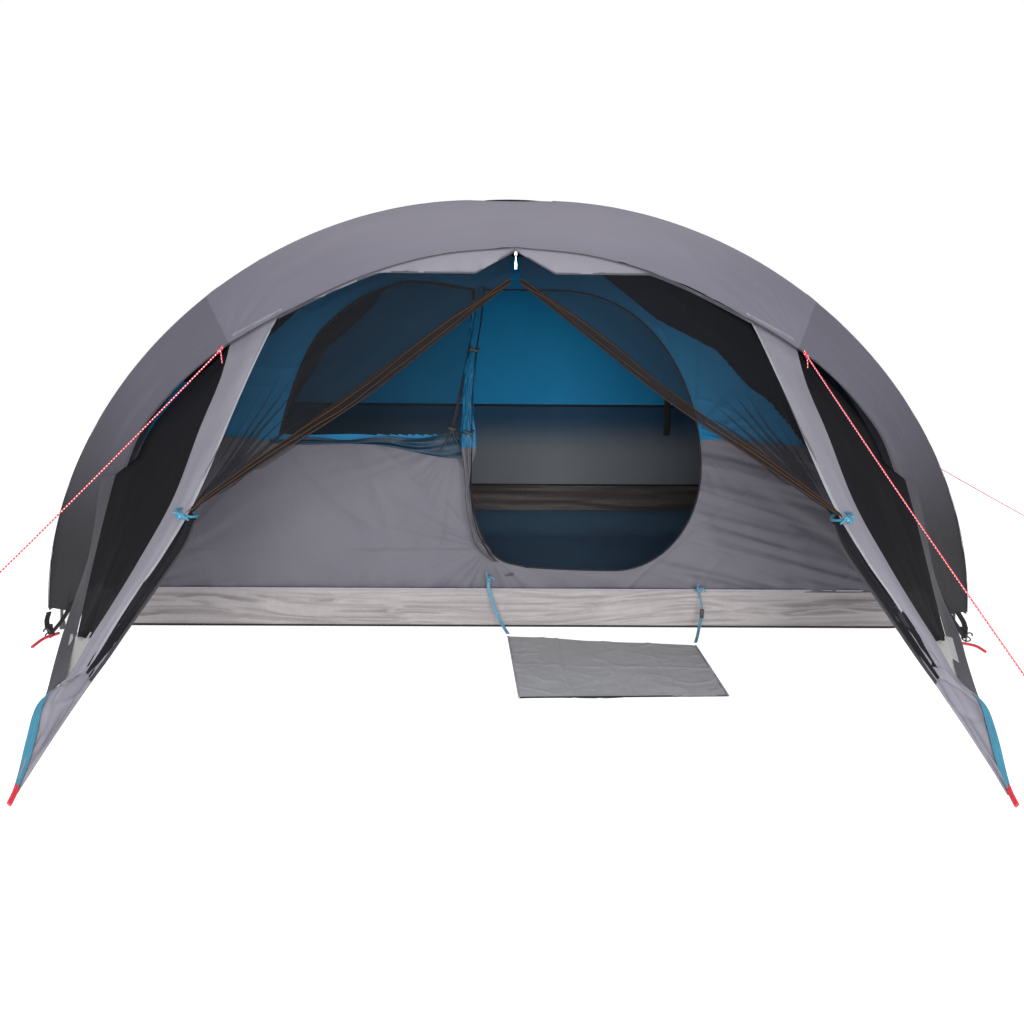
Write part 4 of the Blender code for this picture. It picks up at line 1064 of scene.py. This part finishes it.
def inside(x, z, outline):
    """Whether each point is inside the closed outline."""
    found = np.zeros(x.shape, bool)
    ahead = np.roll(outline, -1, axis=0)
    for (x0, z0), (x1, z1) in zip(outline, ahead):
        if z0 == z1:
            continue
        crosses = (z0 > z) != (z1 > z)
        found ^= crosses & (x < (x1 - x0) * (z - z0) / (z1 - z0) + x0)
    return found


def snap_to(x, z, outline, edge):
    """Moves the marked points of the grid onto the outline."""
    ahead = np.roll(outline, -1, axis=0)
    fine = np.vstack([np.linspace(a, b, 6, endpoint=False) for a, b in zip(outline, ahead)])
    found = np.stack((x[edge], z[edge]), axis=-1)
    nearest = np.array([fine[np.argmin(((fine - p) ** 2).sum(axis=1))] for p in found])
    x[edge] = nearest[:, 0]
    z[edge] = nearest[:, 1]


def cells_touching(mask):
    """Cells of the grid with a marked corner, and cells with all four corners marked."""
    corners = np.stack((mask[:-1, :-1], mask[1:, :-1], mask[:-1, 1:], mask[1:, 1:]))
    return corners.any(axis=0), corners.all(axis=0)


def corners_of(cells):
    found = np.zeros((cells.shape[0] + 1, cells.shape[1] + 1), bool)
    found[:-1, :-1] |= cells
    found[1:, :-1] |= cells
    found[:-1, 1:] |= cells
    found[1:, 1:] |= cells
    return found


def roof_mesh_height(x):
    """Lower edge of the dark roof mesh, steeper on the right than on the left."""
    right = np.interp(x, (0.26, 0.41, 0.61, 0.85, 0.96, 1.06, 1.20),
                      (1.52, 1.42, 1.25, 1.12, 0.99, 0.915, 0.74))
    left = np.interp(-x, (0.30, 0.65, 0.78, 0.90, 1.20), (1.54, 1.41, 1.355, 1.275, 0.98))
    return np.where(x > 0.26, right, np.where(x < -0.30, left, 1.52))


def band_height(x):
    """The seam between the blue and the grey cloth of the front wall, slack near the rolled door."""
    return 0.758 - 0.055 * bump(x, -0.25, 0.35) + 0.012 * np.sin(x * 9)


def front_wall(low, high, rows, columns):
    """X and Z of a grid between two heights, each a function of X. Its side edges follow the arches."""
    t = np.linspace(0, 1, rows)[:, None]
    s = np.linspace(-1, 1, columns)[None, :]
    z = low(s) * (1 - t) + high(s) * t
    for _ in range(3):
        x = s * CABIN[0] * wall_lean(z)
        z = low(x) * (1 - t) + high(x) * t
    return x, z


def front_grid(low, high, rows, columns, relief_of):
    """The front wall's grid with the doorway drawn into it, its relief, and the cells outside the door."""
    x, z = front_wall(low, high, rows, columns)
    outline = door_outline()
    hole = inside(x, z, outline)
    keep = ~cells_touching(hole)[1]
    snap_to(x, z, outline, hole & corners_of(keep))
    return on_wall(x, z, 0.0), relief_of(x, z), keep


def lower_relief(x, z):
    """Soft creases from the door's corners and the tub's pegs, and fine level ones beside the door."""
    pull = fan(x, z, (-0.10, 0.32), 34, 0.60, 101, 1.2) * 0.0045
    pull = pull + fan(x, z, (-0.22, 0.76), 44, 0.30, 103, 1.2) * 0.0035
    pull = pull + fan(x, z, (0.78, 0.72), 40, 0.35, 105, 1.2) * 0.0015
    for k, side in enumerate((-1.62, 1.62)):
        pull = pull + fan(x, z, (side, 0.16), 34, 0.80, 110 + k, 1.2) * 0.008
    beside = step(x, 0.45, 0.80) * step(x, 1.7, 1.1)
    level = value_noise(x * 1.2 + 3, (z + 0.22 * (x - 0.6)) * 34, 117) * 0.0050
    level = level + value_noise(x * 2.2, (z + 0.30 * (x - 0.6)) * 62, 118) * 0.0022
    ripples = value_noise(x * 15 + z * 7, z * 2.2, 121) * 0.0026 * step(z, 0.75, 0.2)
    hem = value_noise(x * 24, z * 3, 123) * 0.0024 * bump(z, TUB_HEIGHT, 0.05)
    slant = np.where(x < 0, x + z * 0.8, x - z * 0.9)
    lines = (creases(slant * 5.0, (x * 0.8 - slant) * 1.5, 125, 8) - 0.2) * 0.0045
    broad = fractal(x * 1.6, z * 2.4, 127, 2) * 0.010
    return pull + level * beside + ripples + hem + lines + broad


def upper_relief(x, z):
    pull = fan(x, z, (-0.18, 1.36), 34, 0.35, 131, 1.2) * 0.005
    pull = pull + fan(x, z, (0.74, 0.80), 30, 0.35, 135, 1.2) * 0.008
    return pull + fractal(x * 2.2, z * 2.6, 139, 3) * 0.007 + (creases(x * 4, z * 5, 138, 6) - 0.2) * 0.003


def on_wall(x, z, ahead):
    """Points at a distance in front of the front wall."""
    x, z = np.broadcast_arrays(np.asarray(x, float), np.asarray(z, float))
    return np.stack((x, front_wall_y(z) + drawn_in(x, z) - ahead, z), axis=-1)


def outward(line):
    """For each point of an outline on the wall, the direction across its edge."""
    ahead = np.gradient(line, axis=0)
    return np.cross(ahead, (0, -1, 0.2))


def make_cabin_front():
    sill = TUB_HEIGHT + 0.004
    grid, relief, keep = front_grid(lambda x: sill + 0.006 * np.sin(x * 4), band_height, 100, 440,
                                    lower_relief)
    cloth("front_wall_lower", grid, M["grey"], relief, ("cabin_front_lower",), keep=keep,
          normal=FRONT_WAY)
    crown = CABIN[2] * math.cos(math.radians(CROWN_ANGLE))
    grid, relief, keep = front_grid(band_height, lambda x: crown + 0 * x, 150, 400, upper_relief)
    x = grid[..., 0]
    z = grid[..., 2]
    window = cells_touching(inside(x, z, window_outline()))[1] & keep
    roof = cells_touching(z > roof_mesh_height(x))[1] & keep & ~window
    cloth("front_wall_upper", grid, M["blue"], relief, ("cabin_front_upper",),
          keep=keep & ~window & ~roof, normal=FRONT_WAY)
    cloth("front_roof_mesh", grid, M["roof_mesh"], relief, (), keep=roof, normal=FRONT_WAY)
    cloth("front_window_mesh", grid, M["window"], relief * 0.6, ("cabin_window_mesh",),
          keep=window, normal=FRONT_WAY)
    outline = door_outline()
    closed = np.vstack((outline, outline[:1]))
    line = even(on_wall(closed[:, 0], closed[:, 1], 0.010), 260)
    tape("doorway_zip", line, outward(line), 0.007, M["door_edge"])
    rim = window_outline()
    line = even(on_wall(rim[:, 0], rim[:, 1], 0.009), 200)
    tape("window_zip", line, outward(line), 0.012, M["door_edge"])
    make_window_flap()


def make_window_flap():
    """The window's cloth cover, folded down and gathered along the seam beside the roll."""
    x = np.linspace(-0.20, -0.98, 160)
    low = band_height(x) - 0.004
    high = low + 0.022 + 0.075 * step(x, -0.60, -0.20) + 0.008 * np.sin(x * 21)
    grid = loft(on_wall(x, low, 0.016), on_wall(x, high, 0.014), 30)
    a, b = metres(grid)
    folds = value_noise(a * 7 + b * 30, b * 60, 137) * 0.012 * np.sin(math.pi * shares(grid)[1])
    folds = folds + value_noise(a * 20, b * 20, 138) * 0.004
    # The cover's near-black blue is painted shade on the gathered cloth.
    cloth("window_flap", grid, M["flap"], -folds, ())
    arc = curve_through([(x, 0, z) for x, z in WINDOW_ARC], at=np.linspace(0.22, 0.97, 90))
    inner = curve_through([(x, 0, z) for x, z in WINDOW_FOLD], 90)
    fold = loft(on_wall(arc[:, 0], arc[:, 2], 0.006), on_wall(inner[:, 0], inner[:, 2], 0.012), 20)
    cloth("window_mesh_fold", fold, M["fold"], None, ())
    strap = curve_through(((-0.128, 0, 1.385), (-0.165, 0, 1.18), (-0.205, 0, 0.97), (-0.243, 0, 0.81)), 60)
    line = on_wall(strap[:, 0], strap[:, 2], 0.050)
    line = line + (0, 0.03, 0) * step(strap[:, 2:3], 0.9, 1.38)
    tape("roll_strap", line, (1, 0, 0), 0.014, M["web"], 0.002)
    end = line[-1]
    loops = []
    turn = np.linspace(0, 2 * math.pi, 40)
    for lean, drop in ((-0.030, 0.09), (0.022, 0.075)):
        across = lean * 0.5 + lean * 0.5 * np.cos(turn + math.pi) + 0.6 * lean * np.sin(turn / 2)
        loop = np.stack((across, -0.006 - 0.004 * np.sin(turn), -drop * np.sin(turn / 2)), 1)
        loops.append(tube("loop", end + loop, 0.0032, M["black_cord"]))
    lump = (end + (-0.012, -0.008, 0.004), end + (0, -0.012, 0), end + (0.012, -0.008, -0.003))
    loops.append(tube("knot", curve_through(lump, 9), 0.008, M["black_cord"], sides=10))
    follow(join("roll_bow", loops), ())


REAR_BAND = (0.258, 0.050)


def make_cabin_walls():
    low_angle = math.degrees(math.acos((TUB_HEIGHT + 0.004) / CABIN[2]))
    band_angle = math.degrees(math.acos(0.76 / CABIN[2]))
    grid = pulled_wall(CABIN, CROWN_ANGLE, low_angle, 90, 80, 0.03)
    for seed, name, side in ((141, "right", 1), (143, "left", -1)):
        shape = grid * (side, 1, 1)
        cloth("cabin_wall_" + name, shape, M["blue"], taut_relief(shape, seed, 0.008),
              ("cabin_side_" + name,))
        lower = pulled_wall(CABIN, band_angle, low_angle, 50, 60, 0.03) * (side, 1, 1)
        inner = lower - (side * 0.012, 0, 0)
        # The lining wears the rear grey, with its painted shade at the top.
        cloth("cabin_wall_lining_" + name, inner, M["rear_grey_painted_shade"], taut_relief(inner, seed + 6, 0.006), ())
    upper = end_wall(CABIN, 1, CROWN_ANGLE, band_angle, 80, 150, 0.03)
    # The rear wall's brighter blue is painted light.
    cloth("rear_wall_upper", upper, M["rear_blue_painted_light"], taut_relief(upper, 151, 0.009), ("cabin_rear_upper",))
    lower = end_wall(CABIN, 1, band_angle, low_angle, 60, 150, 0.03)
    # The rear grey's dark top is painted shade under the upper wall.
    cloth("rear_wall_lower", lower, M["rear_grey_painted_shade"], taut_relief(lower, 157, 0.007), ("cabin_rear_lower",))
    seam = lower[0] - (0, 0.008, 0)
    tape("rear_wall_seam", seam, (0, 0, 1), 0.014, M["web"])
    first, last = (math.degrees(math.acos(height / CABIN[2])) for height in REAR_BAND)
    band = end_wall(CABIN, 1, first, last, 24, 150, 0.03) - (0, 0.030, 0)
    a, b = metres(band)
    folds = value_noise(a * 30, b * 2.0, 159) * 0.008 + value_noise(a * 50, b * 4.0, 158) * 0.004
    # The band wears the dark groundsheet copy: painted shade on the inner tub wall.
    cloth("rear_wall_band", band, M["tub_lining_painted_shade"], folds, ())
    seam = band[0] - (0, 0.004, 0)
    tape("rear_wall_low_seam", seam, (0, 0, 1), 0.010, M["web"])


def rounded_loop(half_x, half_y, radius, count):
    """A rectangle with round corners about the middle of the dome, from the middle of the rear."""
    corner = np.linspace(0, math.pi / 2, 16)
    points = []
    for k, (sx, sy) in enumerate(((-1, 1), (-1, -1), (1, -1), (1, 1))):
        turn = corner + math.pi / 2 * (k + 1)
        points.append(np.stack((sx * (half_x - radius) + radius * np.cos(turn),
                                sy * (half_y - radius) + radius * np.sin(turn), 0 * turn), axis=1))
    loop = np.vstack([np.array([[0, half_y, 0]])] + points + [np.array([[0, half_y, 0]])])
    return even(loop, count) + (0, HALF_DEPTH, 0)


TUB_HALF = (1.623, 1.030)


def make_tub():
    half_x, half_y = TUB_HALF
    rows = 44
    columns = 620
    t = np.linspace(0, 1, rows)
    rings = []
    for share in t:
        grow = 0.021 * share - 0.012 * math.sin(math.pi * share)
        loop = rounded_loop(half_x + grow, half_y + 0.2 * grow, 0.05, columns)
        loop[:, 2] = 0.003 + (TUB_HEIGHT + 0.006) * share
        rings.append(loop)
    grid = np.array(rings)
    a, b = metres(grid)
    level = np.sin(math.pi * shares(grid)[0]) ** 0.7
    slant = a + 0.05 * value_noise(b * 1.3, a * 3, 160)
    relief = (value_noise(b * 2.0, slant * 38, 161) * 0.014 + value_noise(b * 4.5, slant * 70, 163) * 0.008
              + value_noise(b * 26, a * 7, 165) * 0.003) * level
    relief = relief + (creases(b * 2.6, slant * 26, 167, 5) - 0.2) * 0.016 * level
    cloth("floor_tub_wall", grid, M["tub"], -relief, ("cabin_floor_tub",))
    floor_x = np.linspace(-half_x + 0.01, half_x - 0.01, 90)
    floor_y = np.linspace(HALF_DEPTH - half_y + 0.01, HALF_DEPTH + half_y - 0.01, 60)
    x, y = np.meshgrid(floor_x, floor_y, indexing="ij")
    rear = HALF_DEPTH + half_y
    floor = np.stack((x, y, 0.012 + 0.085 * step(y, rear - 0.45, rear)), axis=-1)
    wave = fractal(x * 3, y * 3, 171, 3) * 0.004 + (creases(x * 2, y * 2, 173, 6) - 0.2) * 0.003
    # The floor sheet wears the darker copy of the groundsheet: painted shade inside the tub.
    cloth("floor_sheet", floor, M["tub_floor_painted_shade"], wave, (), normal=(0, 0, 1))
    middle = np.array((0, HALF_DEPTH, 0))
    inner = middle + (grid - middle) * (0.993, 0.990, 1.0) + (0, 0, 0.002)
    # The lining wears the dark groundsheet copy: painted shade inside the tub wall.
    cloth("floor_tub_lining", inner, M["tub_lining_painted_shade"], -relief * 0.7, ())
    line = rounded_loop(half_x + 0.004, half_y + 0.006, 0.05, 400)
    line[:, 2] = 0.007
    tape("tub_base_seam", line, (0, 0, 1), 0.008, M["web"])
    middle_out = (rings[-1] - middle) * (1.0015, 1.003, 1.0) + middle
    tape("tub_top_seam", middle_out, (0, 0, 1), 0.007, M["seam"])


def make_door_roll():
    """The rolled door: layers of blue and grey cloth turned round each other, with creases along the roll."""
    rows = 190
    sides = 72
    height = np.linspace(1.38, 0.290, rows)
    belly = np.sin(math.pi * np.linspace(0, 1, rows))
    side = curve_through([(x, 0, z) for x, z in DOOR_LEFT_SIDE], 200)
    x = np.interp(height, side[:, 2], side[:, 0]) - 0.012 + 0.006 * np.sin(height * 11)
    y = front_wall_y(height) - 0.040 - 0.014 * belly
    radius = 0.012 + 0.008 * belly + 0.003 * value_noise(height * 7, 0, 181)
    radius = radius + 0.009 * bump(height, 0.80, 0.10)
    radius = radius * (1 - 0.30 * bump(height, 1.12, 0.03)) * (0.45 + 0.55 * step(height, 0.60, 0.74))
    radius = radius + 0.016 * bump(height, 0.345, 0.045)
    turn = np.linspace(0, 2 * math.pi, sides, endpoint=False)
    spiral = 1 + 0.22 * ((turn[None, :] / (2 * math.pi) * 3 + height[:, None] * 1.3) % 1.0)
    folds = value_noise(turn[None, :] * 2.2, height[:, None] * 4.0, 183) * 0.26
    fine = value_noise(turn[None, :] * 5.0, height[:, None] * 26.0, 185) * 0.22
    reach = radius[:, None] * (spiral + folds + fine) * 0.92
    grid = np.stack((x[:, None] + reach * np.cos(turn)[None, :], y[:, None] + reach * np.sin(turn)[None, :],
                     np.broadcast_to(height[:, None], reach.shape)), axis=-1)
    split = int(np.argmin(np.abs(height - 0.74)))
    # Both halves wear darker copies of the cabin blue and grey: painted shade on the rolled cloth.
    pieces = (("door_roll_upper", grid[:split + 1], M["roll_blue_painted_shade"], "cabin_blue", ("cabin_door_roll",)),
              ("door_roll_lower", grid[split:], M["bunch_painted_shade"], "cabin_grey", ()))
    for name, part, material, slot, nodes in pieces:
        a, b = metres(part)
        obj = link(name, mesh_of(name, part, closed=True, uv=(a, b)), material)
        follow(obj, nodes)
    toggles = []
    for level, size in ((1.12, 0.024), (0.80, 0.030)):
        ring_turn = np.linspace(0, 2 * math.pi, 40)
        across = np.interp(level, side[:, 2], side[:, 0]) - 0.012
        middle = np.array((across, front_wall_y(level) - 0.054, level))
        ring = np.stack((size * np.cos(ring_turn), size * np.sin(ring_turn), 0.006 * np.cos(ring_turn)), 1)
        toggles.append(tube("ring", middle + ring, 0.0035, M["black_cord"], caps=False))
        bar = middle + (0.004, -size - 0.004, 0)
        route = curve_through((bar + (-0.018, 0, 0.006), bar, bar + (0.018, 0, -0.006)), 9)
        toggles.append(tube("bar", route, 0.0055, M["black_cord"], sides=10))
    follow(join("roll_toggles", toggles), ("cabin_roll_toggle",))
    edge = np.stack((x + 0.016, y - 0.020, height), axis=1)[::3]
    tape("door_roll_zip", edge, (0.5, -0.8, 0), 0.007, M["door_edge"])


def make_door_details():
    y = float(front_wall_y(DOOR_SILL)) - 0.012
    slider = join("door_zip_slider", [
        block("body", (0.0, y, DOOR_SILL - 0.012), (0.018, 0.008, 0.010), M["plastic"], 0.35),
        block("tongue", (-0.014, y - 0.002, DOOR_SILL - 0.014), (0.016, 0.003, 0.006), M["plastic"], 0.3),
    ])
    follow(slider, ("cabin_door_zip_slider",), "door_slider")
    line = np.array([(0.848, 1.35, 0.860), (0.850, 1.35, 0.80), (0.854, 1.348, 0.72), (0.850, 1.35, 0.655)])
    strap = curve_through(line, 30)
    tape("hanging_strap", strap, (1, 0.1, 0), 0.034, M["web"], 0.002, ("cabin_hanging_strap",))


# ---------------------------------------------------------------- ground gear

def make_mat():
    corners = np.array(((-0.012, -0.06, 0), (0.715, -0.16, 0), (0.72, -0.65, 0), (0.02, -0.67, 0)))
    top = np.linspace(corners[0], corners[1], 120)
    low = np.linspace(corners[3], corners[2], 120)
    grid = loft(top, low, 90)
    x = grid[..., 0]
    y = grid[..., 1]
    u, v = shares(grid)
    grid[..., 1] += 0.006 * np.sin(u * 9) * (1 - v) + 0.004 * np.sin(u * 13) * v
    folds = sum(bump(u, k / 4 + 0.012 * np.sin(v * 7 + k), 0.012) for k in (1, 2, 3)) * 0.0022
    folds = folds + bump(v, 0.5 + 0.01 * np.sin(u * 6), 0.014) * 0.0022
    wave = fractal(x * 5, y * 5, 191, 3) * 0.0022 + (creases(x * 9, y * 9, 193, 5) - 0.2) * 0.0028
    grid[..., 2] = 0.0045 + np.clip(folds + wave, -0.0025, 0.006)
    cloth("mat_sheet", grid, M["mat"], None, ("door_mat",))
    hem = low + (0, 0.002, 0.005) + (0, 0, 0.001)
    tape("mat_hem_front", hem, (0, 1, 0.1), 0.008, M["web"])
    for name, a, b in (("left", corners[0], corners[3]), ("right", corners[1], corners[2])):
        line = np.linspace(a, b, 50) + (0, 0, 0.0065)
        tape("mat_hem_" + name, line, (1, 0, 0), 0.007, M["seam"])


def mat_band(route, width):
    return band("band", curve_through(route, 60), (1, 0.1, 0.0), width, M["strap"], 0.002)


def mat_knot(at, size):
    """A knotted end of blue cord with two short ears."""
    turn = np.linspace(0, 1, 40)[:, None]
    swirl = np.hstack((np.cos(turn * 12), np.sin(turn * 9), (0.5 - turn) * 2.4))
    knot = tube("knot", at + swirl * size, size * 0.55, M["tie"])
    ear = curve_through((at, at + (0.014, -0.008, 0.010), at + (0.024, -0.006, -0.004)), 10)
    return [knot, tube("ear", ear, size * 0.4, M["tie"]),
            tube("ear", curve_through((at, at + (-0.008, -0.008, 0.018), at + (-0.004, -0.006, 0.030)), 10),
                 size * 0.4, M["tie"])]


def make_mat_straps():
    left = ((-0.092, 0.046, 0.205), (-0.090, 0.040, 0.170), (-0.068, 0.022, 0.100), (-0.046, 0.004, 0.055),
            (-0.028, -0.022, 0.028), (-0.012, -0.052, 0.012))
    pieces = [mat_band(left, 0.014)] + mat_knot(np.array((-0.092, 0.034, 0.215)), 0.0075)
    follow(join("mat_tie_left", pieces), ("mat_strap_left",))
    cord = ((0.765, 0.046, 0.165), (0.772, 0.030, 0.130), (0.776, 0.020, 0.095))
    low = ((0.772, 0.010, 0.062), (0.756, -0.030, 0.035), (0.738, -0.085, 0.018), (0.718, -0.145, 0.012))
    pieces = [mat_band(low, 0.013), tube("cord", curve_through(cord, 20), 0.0035, M["tie"])]
    pieces += mat_knot(np.array((0.762, 0.034, 0.172)), 0.0075)
    follow(join("mat_tie_right", pieces), ("mat_strap_right",))
    toggle = block("mat_toggle_right", (0.775, 0.014, 0.078), (0.016, 0.012, 0.040), M["plastic"], 0.4)
    follow(toggle, ())


def make_feet():
    """At the foot of each front ridge: two webbing straps to a ring, a buckle, the peg and its red pull."""
    routes = {
        "left": ((-1.850, 0.000, 0.079), (-1.745, -0.020, 0.127), (-1.804, -0.097, 0.012),
                 (-1.787, -0.062, 0.012), (-1.810, -0.222, 0.012)),
        "right": ((1.812, 0.000, 0.095), (1.715, -0.020, 0.180), (1.802, -0.102, 0.012),
                  (1.770, -0.140, 0.012), (1.809, -0.235, 0.012)),
    }
    for name, points in routes.items():
        high, inner, ring, start, end = (np.array(point) for point in points)
        side = 1 if name == "right" else -1
        pieces = []
        for top, bend in ((high, 0.010), (inner, -0.012)):
            middle = (top + ring) / 2 + (side * bend, 0, 0.006)
            route = curve_through((top, middle, ring + (0, 0.006, 0.006)), 24)
            pieces.append(band("strap", route, (1, 0, 0.2), 0.020, M["web"], 0.0022))
        middle = high * 0.35 + ring * 0.65 + (0, -0.006, 0.004)
        pieces.append(block("buckle", middle, (0.030, 0.010, 0.024), M["plastic"]))
        turn = np.linspace(0, 2 * math.pi, 36)
        circle = np.stack((0.016 * np.cos(turn), 0.014 * np.sin(turn), 0.006 + 0.006 * np.sin(turn)), axis=1)
        pieces.append(tube("ring", ring + circle, 0.0026, M["plastic"], caps=False))
        follow(join("foot_webbing_" + name, pieces), ("corner_webbing_" + name,))
        x, y = ring[0], ring[1]
        route = ((x, y, 0.004), (x, y, 0.020), (x, y, 0.034), (x + side * 0.008, y - 0.002, 0.042),
                 (x + side * 0.018, y - 0.003, 0.040), (x + side * 0.022, y - 0.004, 0.030))
        peg = tube("ground_peg_" + name, curve_through(route, 40), 0.003, M["plastic"], sides=12)
        follow(peg, ("foot_peg_" + name,))
        strand = curve_through((start, (start + end) / 2 + (side * 0.006, 0, 0.006), end), 20)
        pull = tube("foot_pull_" + name, strand, 0.0055, M["red"])
        follow(pull, ())


def finish_frame_nodes():
    """Moulded and fibreglass finishes on the frame's own nodes."""
    wear = {"hub_body": "plastic", "hub_release_ring": "red"}
    for name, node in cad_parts.items():
        kind = wear.get(name)
        if name.startswith(("upper_pole", "lower_pole")):
            kind = "pole"
        if name.startswith("elbow"):
            kind = "plastic"
        if kind:
            node.data.materials.clear()
            node.data.materials.append(M[kind])
            node.data.polygons.foreach_set("use_smooth", [True] * len(node.data.polygons))
            node.data.set_sharp_from_angle(angle=math.radians(35))


# ---------------------------------------------------------------- studio

def area_light(name, place, target, size, power, color=(1, 1, 1)):
    data = bpy.data.lights.new(name, "AREA")
    data.shape = "RECTANGLE"
    data.size = size[0]
    data.size_y = size[1]
    data.energy = power
    data.color = color
    light = bpy.data.objects.new(name, data)
    light.location = place
    way = Vector(target) - Vector(place)
    light.rotation_euler = way.to_track_quat("-Z", "Y").to_euler()
    bpy.context.scene.collection.objects.link(light)


def make_studio():
    size = 60.0
    mesh = bpy.data.meshes.new("floor")
    corners = [(-size, -size, 0), (size, -size, 0), (size, size, 0), (-size, size, 0)]
    mesh.from_pydata(corners, [], [(0, 1, 2, 3)])
    made = new_material("studio_floor")[0]
    inputs = {"Base Color": (0.42, 0.42, 0.42, 1), "Roughness": 0.9, "Emission Color": (1, 1, 1, 1),
              "Emission Strength": 0.86}
    floor = link("floor", mesh, finished(made, node(made.node_tree, "BsdfPrincipled", inputs).outputs[0]))
    world = bpy.data.worlds.new("studio")
    bpy.context.scene.world = world
    world.use_nodes = True
    tree = world.node_tree
    seen = node(tree, "LightPath", {}).outputs["Is Camera Ray"]
    background = tree.nodes["Background"]
    background.inputs[0].default_value = (1, 1, 1, 1)
    tree.links.new(math_node(tree, "MULTIPLY_ADD", seen, 0.70, 0.30), background.inputs[1])
    area_light("overhead", (0, -1.8, 7.0), (0, -0.2, 0), (8, 8), 420)
    area_light("front", (0.3, -6.5, 1.7), (0, 0.5, 0.7), (4, 2.2), 440)
    bpy.context.scene.view_settings.view_transform = "Standard"


make_camera()
make_guys()
make_fly()
make_header()
make_corner_strips()
make_mesh_doors()
make_side_mesh()
make_porch_trim()
make_porch_zip()
make_cabin_front()
make_cabin_walls()
make_tub()
make_door_roll()
make_door_details()
make_mat()
make_mat_straps()
make_feet()
finish_frame_nodes()
make_studio()
